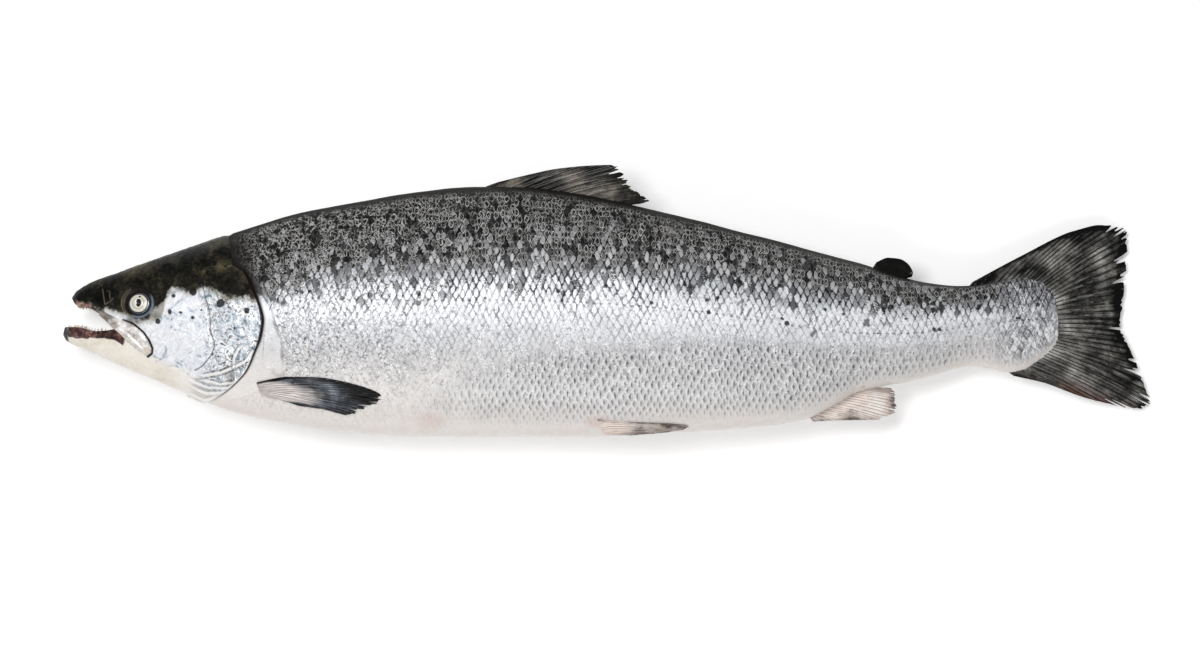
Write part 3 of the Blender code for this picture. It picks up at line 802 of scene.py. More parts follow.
def trunk_field():
    """Places, map and fields of the whole scaled skin, as one grid of rows and rings."""
    station = np.linspace(TRUNK_START, FLESH_END, TRUNK_ROWS)[:, None]
    turn = np.linspace(-math.pi, math.pi, TRUNK_COLUMNS, endpoint=False)[None, :]
    angle = turn + 0.15 * np.sin(2 * turn)
    along, height, side = ring_point(station, angle)
    along = np.broadcast_to(along, height.shape)
    flat = np.stack([height, side], -1)
    steps = np.linalg.norm(np.diff(flat, axis=1), axis=-1)
    arc = np.concatenate([np.zeros((TRUNK_ROWS, 1)), np.cumsum(steps, axis=1)], axis=1)
    # distance round the ring from the back, the same on both sides, then from the lateral line
    from_back = np.abs(arc - arc[:, TRUNK_COLUMNS // 2][:, None])
    line = smooth(LATERAL_LINE, station)
    column = np.abs(angle - angle_of(station, line)).argmin(axis=1)
    arc = from_back[np.arange(TRUNK_ROWS), column][:, None] - from_back
    top, bottom, _, _, _ = section(station)
    rise = np.where(height > line, (height - line) / (top - line), (height - line) / (line - bottom))

    base = placed(along, height, side)
    normal = grid_normals(base, wrap=True)
    gill_edge = smooth(GILL_EDGE, height)
    behind_gill = along - gill_edge
    gill_zone = fade(33, 29, height) * fade(-66, -60, height)
    # the skin is smooth just behind the gill cover, along the back's ridge and on the belly's keel
    from_scales = along - smooth(SCALES_START, height) + 5 * (value_noise(along, arc, 6, 51) - 0.5)
    scaly = fade(0.98, 0.90, rise) * fade(-1.0, -0.85, rise)
    scaly = scaly * fade(-1.5, 2 + 30 * fade(8, 40, height), from_scales)
    scaly = scaly * fade(FLESH_END - 1, FLESH_END - 8, along)
    x, y = scale_lattice(along, arc)
    relief = scale_relief(x, y) * SCALE_RELIEF * scaly * fade(-1.0, -0.6, rise)
    under_head = fade(4, -2, along - smooth(HEAD_SKIN_END, height)) * 1.1
    trough = fade(-6, -1, behind_gill) * fade(2.2, 0.2, behind_gill) * gill_zone
    creases = (value_noise(along, arc, 26, 5) - 0.5) * 0.7 + (value_noise(along, arc, 9, 6) - 0.5) * 0.2
    lift = relief + creases * fade(110, 150, along) - under_head - 1.6 * trough
    points = base + normal * (lift * MM)[..., None]
    points[..., 2] = np.maximum(points[..., 2], 0.00002)
    nape = 0.5 * fade(34, 0, from_scales) * fade(0.25, 0.6, rise)
    # the grey of the lower side: a painted dimmer reflection
    grey = fade(0.05, -0.12, rise - smooth(GREY_FROM, along))
    marks = np.zeros(height.shape)
    for x0, y0, x1, y1, half in SCRATCHES:
        gap = near_line(along, height, [(x0, y0), (x1, y1)])
        marks = np.maximum(marks, fade(half + 0.7, half - 0.1, gap))
    gap = near_line(along, height, SHOULDER) + 1.6 * (value_noise(along, height, 4, 52) - 0.5)
    shoulder = fade(1.3, 0.3, gap) * (0.45 + 0.5 * fade(-8, 6, height))
    grubby = 0.5 * fade(9, 2, np.hypot(along - 146, (height + 43) * 1.6))
    shoulder = np.maximum(shoulder, grubby * value_noise(along, height, 2.5, 53))
    marks = np.maximum(marks, shoulder)
    blush = fade(9, 3, np.hypot((along - 250) / 1.6, height + 77))
    blush = blush + fade(7, 2, np.hypot((along - 367) / 2, height + 77))
    return {
        "points": points,
        "uv": np.stack([x, y], -1) * MM,
        "rise": np.where(rise > -0.3, rise + nape + smooth(DARK_SHIFT, along) * fade(-0.3, 0.1, rise), rise),
        "scaly": scaly,
        "line_away": arc * fade(130, 150, along) + 9 * fade(150, 130, along),
        "front": fade(300, 170, along),
        "root": fade(636, 664, along) * fade(-0.95, -0.6, rise),
        "grey": grey * fade(-0.98, -0.70, rise) * smooth(GREY_DEPTH, along),
        "spot": near_spots(along, arc, trunk_spots()),
        "mark": marks * 0.8,
        "rubbed": fade(5.5, 2.5, np.hypot((along - 418) / 2.0, height - 56)),
        "blush": np.maximum(0.35 * blush, 0.9 * fade(2.6, 0.8, np.hypot(along - 553, (height + 53) * 1.6))),
        # painted shadow in the gap behind the gill cover's free edge
        "slit": fade(-5, -0.5, behind_gill) * fade(1.6, 0.5, behind_gill) * gill_zone,
    }


def build_trunk():
    """Splits the scaled skin into equal lengths of one shape; rings close round the fish."""
    skin = trunk_field()
    finish = scaled_skin()
    places, uv = skin.pop("points"), skin.pop("uv")
    normals = grid_normals(places, wrap=True)
    cuts = np.linspace(0, TRUNK_ROWS - 1, TRUNK_PIECES + 1).astype(int)
    for n, (first, last) in enumerate(zip(cuts, cuts[1:])):
        part = slice(first, last + 1)
        make_piece(
            f"scaled_skin_{n + 1}",
            places[part],
            grid_quads(last + 1 - first, TRUNK_COLUMNS, wrap=True),
            finish,
            "silver_skin",
            replaces=("body",) if n == 0 else (),
            uv=uv[part],
            normals=normals[part],
            **{key: value[part].ravel() for key, value in skin.items()},
        )


# ---- head ----

HEAD_ROWS = 270
UPPER_COLUMNS = 180
LOWER_COLUMNS = 110
HEAD_LIFT = 0.35

HEAD_SPOTS = [
    (72.6, 10.2, 1.4), (86.4, 13, 2.5), (96.6, 25.9, 1.5), (109.2, 30.8, 1.3), (70, -0.7, 1.4),
    (77.7, -1.4, 1.1), (86.1, -4.5, 1.3), (92.4, 0.7, 0.8), (124.6, 0, 2.0), (61.6, -7.3, 1.9),
    (106, 5, 2.8), (116.2, -12, 0.9), (92, 19, 1.6), (84, 29, 1.2), (101, 33, 1.3),
]
# Lower edge of the head's dark cap, and upper edge of its cream throat: (along, height).
CAP_EDGE = [
    (-10, 3), (6, 3.5), (12, 0.5), (18, -1.5), (21.5, 0.5), (24, 3.6), (28, 2.4), (33, 0), (40, -3),
    (47, -6), (54, -7), (61, -3.5),
    (64.4, 2.1), (66.5, 7.7), (68.6, 12.6), (72.8, 15.4), (84, 14), (93, 16.3), (101, 13.7), (110, 9.3),
    (129, 8.5), (140, 9),
]
THROAT_EDGE = [
    (-10, -6), (31, -13), (44, -25), (56, -31.5), (68, -35), (80, -42), (88, -47.5), (96, -53),
    (110, -57), (140, -64),
]
# Depth of the raw flesh below the lower jaw's edge.
LIP_DEPTH = [(-7, 7.5), (8, 6.6), (18, 4.6), (25, 5.6), (33, 8.5), (36, 7.4), (38.5, 0)]
PREOPERCLE = [
    (93.1, 17.5), (94.5, 11.2), (97.6, 1.4), (98.6, -6.3), (98.7, -13), (101.4, -21), (101.4, -25),
    (99.4, -30.5), (93.4, -37.8), (87, -41.6),
]
JAW_CRESCENT = [(36.4, -6.6), (43.4, -8.8), (50.6, -14.8), (55, -21), (57, -26), (56.6, -30), (53.6, -32)]
OPERCLE_SEAM = [(129, -27.8), (123.6, -34.5), (116.2, -38.4), (106, -42.3), (93.3, -44.8), (86, -45.4)]
BRANCHIAL_RAYS = [
    [(118.8, -26.3), (115.5, -32), (115, -38)],
    [(122, -44.5), (117.5, -48.6), (106, -49.9), (93, -47.3), (80, -44)],
    [(116, -50), (110, -52.4), (97.5, -52.4), (86, -49), (74, -44)],
    [(110, -54.6), (106, -55.6), (95.8, -56.3), (85.8, -53), (74, -48)],
    [(103, -59.4), (94, -60.4), (84, -57)],
]
# Painted highlight along the upper rim of the gill cover: (along, height).
GILL_RIM_HIGHLIGHT = [(111, 29.4), (114, 31.5), (117.5, 32), (121, 28.6), (124.5, 23)]


def lines_mask(along, height, lines, half):
    """Soft mask of several thin lines, each of the given half width."""
    gap = np.full(np.shape(along), 99.0)
    for line in lines:
        gap = np.minimum(gap, near_line(along, height, line))
    return fade(half + 0.35, half - 0.1, gap)


def head_fields(along, height):
    """Where the head's colours lie, from a place of its side view: signed distances (mm) above
    the cap's edge and below the throat's, the spots, and masks of lips, grooves and lines."""
    eye_x, eye_y = along - EYE[0], height - EYE[1]
    away = np.hypot(eye_x / 1.06, eye_y / 0.98)
    bearing = np.degrees(np.arctan2(eye_y, eye_x))
    jaw = smooth(LOWER_JAW, along) - height
    depth = smooth(LIP_DEPTH, along) + 2.2 * (value_noise(along, height, 2.6, 3) - 0.5)
    lip = fade(depth + 0.5, depth - 0.5, jaw) * (jaw > -1.5) * fade(39, 36.5, along)
    above = height - smooth(UPPER_JAW, along)
    strip = fade(4.4, 3.2, above + 1.6 * (value_noise(along, height, 2.3, 6) - 0.5))
    strip = strip * fade(9, 13, along) * fade(32, 29, along) * (above > -1.5)
    pink = fade(4.2, 2.4, above + 1.5 * (value_noise(along, height, 1.9, 7) - 0.5)) * fade(1, 4, along)
    pink = pink * fade(15, 11, along) * (above > -1.5)
    jaw_tip = fade(0.6, -1.4, along + 2.6 + 1.2 * (value_noise(along, height, 2.5, 12) - 0.5))
    jaw_tip = jaw_tip * fade(-3, -5, height)
    folds = np.maximum(fade(0.45, 0.1, np.abs(away - 9.9)), fade(0.4, 0.1, np.abs(away - 11.4)) * 0.8)
    folds = folds * fade(112, 130, np.mod(bearing, 360)) * fade(252, 236, np.mod(bearing, 360))
    moist = fade(8.4, 9.0, away) * fade(11.0, 9.8, away) * fade(-128, -104, bearing) * fade(46, 16, bearing)
    rims = fade(1.5, 0.9, np.abs(away - 8.6)) * (1 - 0.8 * moist)
    groove = lines_mask(along, height, [PREOPERCLE], 0.22) * 0.9
    groove = np.maximum(groove, lines_mask(along, height, [JAW_CRESCENT], 0.75))
    groove = np.maximum(groove, rims)
    brow = fade(13.4, 11.0, away) * fade(20, 45, bearing) * fade(165, 140, bearing)
    snout = [
        [(21.5, 15), (22.6, 9), (23.4, 4.6)], [(23.4, 4.6), (27, 6.4), (29, 8.5)], [(27, 8.5), (26.4, 14)],
    ]
    return {
        "cap": height - smooth(CAP_EDGE, along),
        "throat": smooth(THROAT_EDGE, along) - height,
        "bony": fade(90, 100, along),
        "rear": fade(55, 88, along),
        "lower": fade(96, 104, along + 0.2 * height) * fade(-34, -42, height) * fade(-62, -56, height),
        "olive": fade(9, 4, np.hypot((along - 60) / 0.8, (height - 3) / 1.3)),
        "spot": near_spots(along, height, HEAD_SPOTS),
        "lip": lip,
        "strip": strip,
        "pink": pink,
        "blue": moist,
        "black": np.maximum(jaw_tip, brow * 0.9),
        "groove": groove,
        "pale_line": 0 * along,
        # tan folds round the eye, thin lines at the nostrils, and the painted highlight along the gill cover's
        # upper rim
        "tan_line": np.maximum(folds * 0.55, 0.35 * lines_mask(along, height, snout + [GILL_RIM_HIGHLIGHT], 0.2)),
    }


def head_relief(along, height):
    """Relief of the head's skin in mm: the eye's sunk socket with its rims, the grooves of the
    cheek and of the upper jaw's bone, nostrils, and the bumpy flesh of the lower lip."""
    eye_x, eye_y = along - EYE[0], height - EYE[1]
    away = np.hypot(eye_x / 1.06, eye_y / 0.98)
    socket = -3.4 * fade(8.8, 6.6, away) + 0.7 * np.exp(-(((away - 9.9) / 0.9) ** 2))
    socket += 0.4 * np.exp(-(((away - 11.5) / 0.6) ** 2)) - 0.3 * np.exp(-(((away - 10.7) / 0.5) ** 2))
    groove = -0.9 * fade(1.8, 0.3, near_line(along, height, JAW_CRESCENT))
    groove -= 0.7 * fade(1.4, 0.2, near_line(along, height, PREOPERCLE))
    jaw = smooth(LOWER_JAW, along) - height
    depth = smooth(LIP_DEPTH, along)
    lip = 0.8 * fade(depth + 0.3, depth - 1.5, jaw) * fade(-0.2, 0.8, jaw) * fade(39, 34, along)
    bumps = (value_noise(along, height, 2.2, 8) - 0.5) * (0.25 + 1.1 * lip)
    cheek = (value_noise(along, height, 14, 9) - 0.5) * 0.9
    nostril = -1.4 * np.exp(-((near_spots(along, height, [(26, 13, 0.0)]) / 1.3) ** 2))
    return socket + groove + lip + bumps + cheek + nostril


def head_grid(first, last, columns, station_limit):
    """Grid over a band of the head between two angle functions of the station, first(station)
    and last(station), from the jaws back to where the head's skin ends."""
    share = np.linspace(0, 1, columns)[None, :]
    back = np.full((1, columns), station_limit)
    for _ in range(8):
        angle = first(back) + (last(back) - first(back)) * share
        _, height, _ = ring_point(back, angle)
        back = smooth(HEAD_SKIN_END, height)
    run = np.linspace(0, 1, HEAD_ROWS)[:, None] ** 1.15
    station = run * back
    angle = first(station) + (last(station) - first(station)) * share
    return station, angle


def jaw_angle(edge):
    """Function that gives the angle at which the section at a station meets a jaw's edge."""

    def angle(station):
        along = station
        for _ in range(LEAN_STEPS):
            top, bottom, _, _, lean = section(station)
            height = smooth(edge, along)
            along = station - lean * np.clip((top - height) / (top - bottom), 0, 1)
        return angle_of(station, smooth(edge, along))

    return angle


def head_points(station, angle):
    """Places of the head's skin with its relief, and the side view they are painted by."""
    along, height, side = ring_point(station, angle)
    along = np.broadcast_to(along, height.shape)
    base = placed(along, height, side)
    normal = grid_normals(base)
    skin_end = smooth(HEAD_SKIN_END, height)
    sink = 1.1 * fade(-5, 0.5, along - skin_end)
    lift = HEAD_LIFT + head_relief(along, height) * fade(0.0, 5.0, station) - sink
    return base + normal * (lift * MM)[..., None], along, height


def capped(points, where):
    """The grid with one more row in front, drawn together in a rounded tip."""
    tip = points[:1].mean(axis=1, keepdims=True)
    nose = tip + (points[:1] - tip) * 0.6
    nose[..., 0] -= 0.35 * MM
    end = np.broadcast_to(tip, points[:1].shape).copy()
    end[..., 0] -= 0.5 * MM
    return np.concatenate([end, nose, points]), np.concatenate([where[:1], where[:1], where])


def build_head(finish):
    """Skin of both jaws, cheeks and skull: the upper band runs from one side of the mouth over
    the skull to the other, the lower band round the chin, and they meet behind the mouth."""
    upper, lower = jaw_angle(UPPER_JAW), jaw_angle(LOWER_JAW)
    bands = [
        head_grid(lambda s: -upper(s), upper, 2 * UPPER_COLUMNS, 112.0),
        head_grid(lower, lambda s: 2 * math.pi - lower(s), 2 * LOWER_COLUMNS, 96.0),
    ]
    for label, (station, angle) in zip(("upper", "lower"), bands):
        points, along, height = head_points(station, angle)
        places = np.stack([along, height], -1)
        points, places = capped(points, places)
        rows, columns = points.shape[:2]
        make_piece(
            f"head_skin_{label}",
            points,
            grid_quads(rows, columns),
            finish,
            "silver_skin",
            uv=places * MM,
            **{key: value.ravel() for key, value in head_fields(places[..., 0], places[..., 1]).items()},
        )


def jaw_row(edge, stations):
    """Edge points of a jaw on the section itself, without the skin's lift: along, height and the side, which
    the callers mirror for the right.
    """
    angle = jaw_angle(edge)(stations)
    along, height, side = ring_point(stations, angle)
    return along, height, side


def build_mouth(finish):
    """Lining of the mouth: an arched palate and a hollow floor with a tongue, each a span across
    from lip to lip whose arch dies out in the throat."""
    stations = np.linspace(0.2, THROAT_END, 90)
    across = np.linspace(-1, 1, 61)[None, :]
    closing = fade(THROAT_END, MOUTH_TIP + 4, stations)[:, None]
    for label, edge, arch in (("palate", UPPER_JAW, 5.5), ("mouth_floor", LOWER_JAW, -4.5)):
        along, height, side = jaw_row(edge, stations)
        opening = fade(0, 12, stations)[:, None]
        rise = arch * (1 - across**4) * closing * opening
        ridge = 0.5 * np.cos(across * 9) * closing * opening
        tongue = 0.0
        if label == "mouth_floor":
            tongue = 4.2 * fade(0.5, 0.25, np.abs(across)) * fade(6, 14, stations)[:, None] * closing
        grid_height = height[:, None] + rise + tongue + ridge * 0.4
        grid_side = side[:, None] * across * 0.985
        points = placed(np.broadcast_to(along[:, None], grid_height.shape), grid_height, grid_side)
        faces = grid_quads(*grid_height.shape)
        if label == "palate":
            faces = faces[:, ::-1]
        make_piece(label, points, faces, finish, "silver_skin")


def build_teeth(finish):
    """Small curved teeth along both jaws: cones of six sides, bent back, of uneven size."""
    rng = np.random.default_rng(4)
    vertices, faces = [], []
    sides = 6
    turn = np.arange(sides) * 2 * math.pi / sides
    for edge, way, reach in ((UPPER_JAW, -1, 26.0), (LOWER_JAW, 1, 24.0)):
        stations = np.linspace(1.5, reach, 15) + rng.normal(0, 0.35, 15)
        along, height, side = jaw_row(edge, stations)
        for hand in (1, -1):
            for x, y, z in zip(along, height, side):
                size = rng.uniform(0.35, 0.6)
                length = rng.uniform(1.1, 2.1)
                rings = [(0.0, 1.0, -0.8), (0.5, 0.75, 0.4 * length), (1.0, 0.12, length)]
                start = sum(len(part) for part in vertices)
                for bend, width, rise in rings:
                    vertices.append(placed(
                        x + size * width * np.cos(turn) + 0.5 * bend,
                        y + way * rise + 0 * turn,
                        hand * (z - 0.9) + size * width * np.sin(turn),
                    ))
                ring = grid_quads(3, sides, wrap=True, start=start)
                faces.append(ring if way == -1 else ring[:, ::-1])
                last = start + 2 * sides
                cap = np.array([[last, last + 1, last + 2, last + 3], [last + 3, last + 4, last + 5, last]])
                faces.append(cap if way == -1 else cap[:, ::-1])
    make_piece("teeth", np.concatenate(vertices), np.concatenate(faces), finish, "silver_skin")


def lifted(along, height, lift, hand):
    """Places off the skin by a lift in mm, on the left side or, mirrored, on the right."""
    side = side_at(along, height)
    step = 0.6
    slope_x = (side_at(along + step, height) - side_at(along - step, height)) / (2 * step)
    slope_y = (side_at(along, height + step) - side_at(along, height - step)) / (2 * step)
    length = np.sqrt(1 + slope_x**2 + slope_y**2)
    along_out = along - slope_x / length * lift
    height_out = height - slope_y / length * lift
    side_out = side + lift / length
    level = smooth(MID_LEVEL, along_out) + hand * side_out
    return np.stack([along_out + ORIGIN_ALONG, height_out + ORIGIN_HEIGHT, level], -1) * MM


def outward(points, faces):
    """Faces of a closed mesh turned so that they face out: the volume they enclose, summed over
    the triangles they make with the origin, has to be above zero."""
    corner = points[faces]
    first = np.cross(corner[:, 1], corner[:, 2]) + np.cross(corner[:, 2], corner[:, 3])
    return faces if (corner[:, 0] * first).sum() > 0 else faces[:, ::-1]


def closed_plate(name, outer, inner, finish, slot, replaces, places, fields):
    """Joins an outer and an inner skin, both (rows, columns, 3), into one closed piece."""
    rows, columns = outer.shape[:2]
    points = np.concatenate([outer.reshape(-1, 3), inner.reshape(-1, 3)])
    half = rows * columns
    top = grid_quads(rows, columns)
    bottom = grid_quads(rows, columns, start=half)[:, ::-1]
    number = np.arange(half).reshape(rows, columns)
    border = np.concatenate([number[0, :-1], number[:-1, -1], number[-1, :0:-1], number[:0:-1, 0]])
    after = np.roll(border, -1)
    rim = np.stack([after, border, border + half, after + half], -1)
    faces = outward(points, np.concatenate([top, bottom, rim]))
    doubled = {key: np.concatenate([value.ravel(), value.ravel()]) for key, value in fields.items()}
    uv = np.concatenate([places.reshape(-1, 2), places.reshape(-1, 2)])
    return make_piece(name, points, faces, finish, slot, replaces=replaces, uv=uv, **doubled)


def build_gill_covers(finish):
    """Gill covers: bony plates flush with the cheek in front, their free rear edge standing off
    the trunk, with the seam of the lower bone and the overlapping rays of the throat in relief."""
    rows, columns = 230, 130
    height_low, height_high = -63.4, 31.4
    v = np.linspace(0, 1, rows)[:, None]
    level = height_high + (height_low - height_high) * v
    u = np.linspace(0, 1, columns)[None, :]
    front = smooth(GILL_FRONT, level)
    rear = smooth(GILL_EDGE, level)
    along = front + (rear - front) * u
    slant = 6.0 * fade(0.75, 1.0, v) - 2.0 * fade(0.2, 0.0, v)
    height = level + slant * (1 - u) * 0.5
    height = np.broadcast_to(height, along.shape)
    edge = np.minimum(np.minimum(u * (rear - front), (1 - u) * (rear - front)), np.minimum(v, 1 - v) * 95)
    rounded = np.sqrt(np.clip(1 - (1 - np.clip(edge / 1.6, 0, 1)) ** 2, 0, 1))
    seam = near_line(along, height, OPERCLE_SEAM)
    pale = fade(1.2, 0.5, seam)
    # painted shade: a dark line beside the seam and each ray, in the groove next to it
    beside = fade(0.9, 0.2, np.abs(seam - 1.7)) * 0.5
    relief = 0.45 * np.exp(-((seam / 0.9) ** 2)) - 0.35 * np.exp(-(((seam - 1.6) / 0.8) ** 2))
    for ray in BRANCHIAL_RAYS:
        gap = near_line(along, height, ray)
        relief += 0.5 * np.exp(-((gap / 0.8) ** 2))
        pale = np.maximum(pale, 0.85 * fade(1.1, 0.4, gap))
        beside = np.maximum(beside, 0.4 * fade(0.8, 0.2, np.abs(gap - 1.5)))
    pale = np.maximum(pale, 0.75 * fade(1.3, 0.4, (1 - u) * (rear - front)) * fade(0.62, 0.78, v))
    relief += (value_noise(along, height, 9, 21) - 0.5) * 0.5
    relief += (value_noise(along, height, 3, 22) - 0.5) * 0.3
    low = 0.1 + 1.1 * u * np.ones_like(v)
    thick = 0.35 + 1.1 * fade(0.0, 0.5, u)
    top = low + (thick + relief * fade(0, 3, edge)) * (0.15 + 0.85 * rounded)
    fields = head_fields(along, height)
    from_front = fade(1, 9, u * (rear - front))
    fields["pale_line"] = pale * from_front
    fields["bony"] = fields["bony"] + 0.3 * fade(6, 2, (1 - u) * (rear - front))
    # painted shade along the last millimetre of the free rear edge
    painted_edge_shade = fade(0.9, 0.3, (1 - u) * (rear - front)) * fade(0.72, 0.5, v)
    beside = beside * from_front * fade(2, 6, (1 - u) * (rear - front))
    fields["groove"] = np.maximum(np.maximum(fields["groove"], painted_edge_shade), beside)
    places = np.stack([along, height], -1) * MM
    for label, hand in (("left", 1), ("right", -1)):
        outer, inner = lifted(along, height, top, hand), lifted(along, height, low, hand)
        closed_plate(
            f"gill_cover_{label}_skin", outer, inner, finish, "head_plate",
            (f"gill_cover_{label}",), places, fields,
        )


UPPER_LIP_ROWS = [
    (19.6, -3.2, 19.6, 0.4), (24, -7, 28, -3.1), (29.5, -12.6, 35.7, -6.3), (36.4, -18.6, 43.4, -9.8),
    (42, -23.6, 50.4, -15.4), (47.4, -27.6, 54.8, -22.6), (52, -30.6, 56, -28.6),
]


def row_curves(rows):
    """Smooth functions of the share down a list of rows, one for each of its numbers."""
    last = len(rows) - 1
    return [
        (lambda t, k=k: smooth([(n / last, row[k]) for n, row in enumerate(rows)], t))
        for k in range(len(rows[0]))
    ]


def lip_finish():
    """Silver-cream skin over the bone of the upper jaw, pinkish and dark along its edges."""
    lip = Finish("upper_lip_skin", roughness=0.26, coat=0.8, coat_roughness=0.08)
    body = lip.object_place()
    streak = lip.noise(lip.object_place((1.0, 1.4, 1.0)), 130, 4, 0.6)
    fine = lip.noise(body, 600, 3)
    colour = lip.ramp(
        streak + fine * 0.3 + 0.5,
        (0.25, tone(120, 110, 106)), (0.42, tone(196, 190, 186)), (0.58, tone(232, 229, 226)),
        (0.75, tone(248, 248, 248)),
    )
    across, down = lip.field("across"), lip.field("down")
    colour = lip.mix((across + fine * 0.2).step(0.20, 0.06) * 0.75, colour, tone(214, 196, 176))
    colour = lip.mix((across + fine * 0.2).step(0.07, 0.0) * 0.8, colour, tone(72, 48, 42))
    colour = lip.mix((down + streak * 0.3).step(0.34, 0.16) * 0.8, colour, tone(92, 80, 70))
    colour = lip.mix((down - streak * 0.3).step(0.82, 0.95) * 0.6, colour, tone(226, 212, 190))
    lip.feed("Base Color", colour)
    lip.bump(streak + fine * 0.5, 0.0003)
    return lip.material


def build_upper_lips(finish):
    """Bone at the side of the upper jaw: a narrow leaf with a rounded back and a fold along it."""
    start_x, start_y, end_x, end_y = row_curves(UPPER_LIP_ROWS)
    v = np.linspace(0, 1, 120)[:, None]
    u = np.linspace(0, 1, 44)[None, :]
    along = start_x(v) + (end_x(v) - start_x(v)) * u
    height = start_y(v) + (end_y(v) - start_y(v)) * u
    edge = np.minimum(np.minimum(u, 1 - u) * 9, np.minimum(v + 0.02, 1 - v) * 52)
    rounded = np.sqrt(np.clip(1 - (1 - np.clip(edge / 1.4, 0, 1)) ** 2, 0, 1))
    fold = 0.5 * np.exp(-(((u - 0.30) / 0.09) ** 2)) - 0.35 * np.exp(-(((u - 0.45) / 0.07) ** 2))
    relief = 1.0 + 0.5 * np.sin(math.pi * u) + fold * fade(0.1, 0.4, v)
    relief = relief + (value_noise(along, height, 4, 31) - 0.5) * 0.3
    low = 0.15 + 0 * along
    top = low + relief * rounded
    fields = {"across": u + 0 * v, "down": v + 0 * u}
    places = np.stack([along, height], -1) * MM
    for label, hand in (("left", 1), ("right", -1)):
        outer, inner = lifted(along, height, top, hand), lifted(along, height, low, hand)
        closed_plate(
            f"upper_lip_{label}_skin", outer, inner, finish, "head_plate",
            (f"upper_lip_{label}",), places, fields,
        )


# ---- eyes ----

EYE_RADIUS = 8.2


def build_eyes(finish):
    """Eyeballs: a turned form about the line of sight, a low dome with a sunk pupil in front and
    a rounded back, closed at both poles."""
    rings, spokes = 64, 96
    t = np.linspace(0, 1, rings)[:, None]
    turn = np.linspace(0, 2 * math.pi, spokes, endpoint=False)[None, :]
    angle = t * math.pi
    radius = EYE_RADIUS * np.sin(angle) ** 0.9
    dome = np.where(angle < math.pi / 2, 3.3, 5.0) * np.cos(angle)
    x, y = radius * np.cos(turn) * 1.02, radius * np.sin(turn) * 0.96
    pupil = np.hypot((x - 0.2) / 2.0, (y - 0.3) / 2.95)
    front = angle < math.pi / 2
    dome = dome - 0.5 * fade(1.15, 0.8, pupil) * front + 0.12 * np.cos(radius * 4.2) * front
    centre_along, centre_height = EYE
    step = 1.0
    slope_x = side_at(centre_along + step, centre_height) - side_at(centre_along - step, centre_height)
    slope_y = side_at(centre_along, centre_height + step) - side_at(centre_along, centre_height - step)
    slope_x, slope_y = slope_x / (2 * step), slope_y / (2 * step)
    outward = np.array([-slope_x, -slope_y, 1.0]) / math.sqrt(1 + slope_x**2 + slope_y**2)
    first = np.cross([0, 1, 0], outward)
    first /= np.linalg.norm(first)
    second = np.cross(outward, first)
    skin = side_at(centre_along, centre_height)
    offset = x[..., None] * first + y[..., None] * second + (dome - 1.6)[..., None] * outward
    along, height = centre_along + offset[..., 0], centre_height + offset[..., 1]
    side = skin + offset[..., 2]
    ring = np.where(front, radius / EYE_RADIUS, 1.0) + 0 * turn
    dot = fade(1.1, 0.5, np.hypot(x - 0.9, y - 4.6)) * front
    pupil = np.where(front, pupil, 9.0)
    faces = grid_quads(rings, spokes, wrap=True)
    for label, hand in (("left", 1), ("right", -1)):
        points = placed(along, height, hand * side)
        make_piece(
            f"eye_{label}_ball", points, faces[:, ::-1] if hand > 0 else faces, finish, "eye",
            replaces=(f"eye_{label}",), ring=ring.ravel(), pupil=pupil.ravel(), dot=dot.ravel(),
        )


# ---- fins ----


DORSAL_RAYS = [
    (285, 85.4, 298, 90.4), (294, 85.4, 321, 95.9), (303, 85.3, 336, 99), (314, 84.8, 361, 101.5),
    (326, 84, 383, 102.2), (338, 82.8, 386, 94.5), (352, 80.5, 391, 88.9), (368, 77.5, 398, 83),
    (381, 74.6, 405, 77.5), (387, 73.4, 397, 75.0),
]
ADIPOSE_RAYS = [
    (560, 29.6, 563, 34.4), (563, 28.6, 571, 37.5), (568, 26.8, 579, 36.8), (573, 25, 585.5, 33),
    (578, 23.4, 588.7, 27), (582, 22.2, 588, 24),
]
ANAL_RAYS = [
    (515, -73.6, 518, -77.4), (518, -71.8, 537, -76.6), (524, -69.2, 557, -76.3),
    (531, -65.6, 569, -75.4), (538, -61.4, 579, -70.6), (545, -57.6, 577, -62.4),
    (551, -54.6, 576.5, -57.4), (558, -53, 573, -54.2),
]
TAIL_RAYS = [
    (628, 16.6, 631, 20.4), (646, 19.1, 664, 37.5), (662, 21.2, 700, 54.4), (673, 20.6, 722, 59),
    (679.5, 16.6, 741.3, 57.1), (684.4, 10, 740, 37), (687, 2.6, 737, 12), (687.2, -8, 735.7, -9),
    (687.2, -17, 741, -24), (686.4, -23, 750, -44), (681, -28.4, 757.4, -64.4),
    (674.4, -34, 746, -68.6), (666.6, -39, 710, -60.3), (659, -41.2, 680, -49.8),
    (653, -40.8, 660, -45.4),
]
PECTORAL_RAYS = [
    (131, -49.5, 150, -45.6), (131.4, -50.4, 171, -46), (131.8, -51.4, 198, -51),
    (132.2, -52.4, 214, -57.4), (132.6, -53.4, 217, -62.4), (133, -54.4, 207, -68.2),
    (133.4, -55.4, 196, -72.4), (133.8, -56.4, 181, -68.6), (134.2, -57.4, 158, -65),
]
PELVIC_RAYS = [
    (367, 146, 392, 150), (368, 149, 418, 154), (369, 152, 432, 159), (370, 155, 430, 163),
    (371, 158, 418, 167), (372, 161, 404, 170), (373, 164, 388, 171),
]
RIGHT_PECTORAL_DROP = 5.0


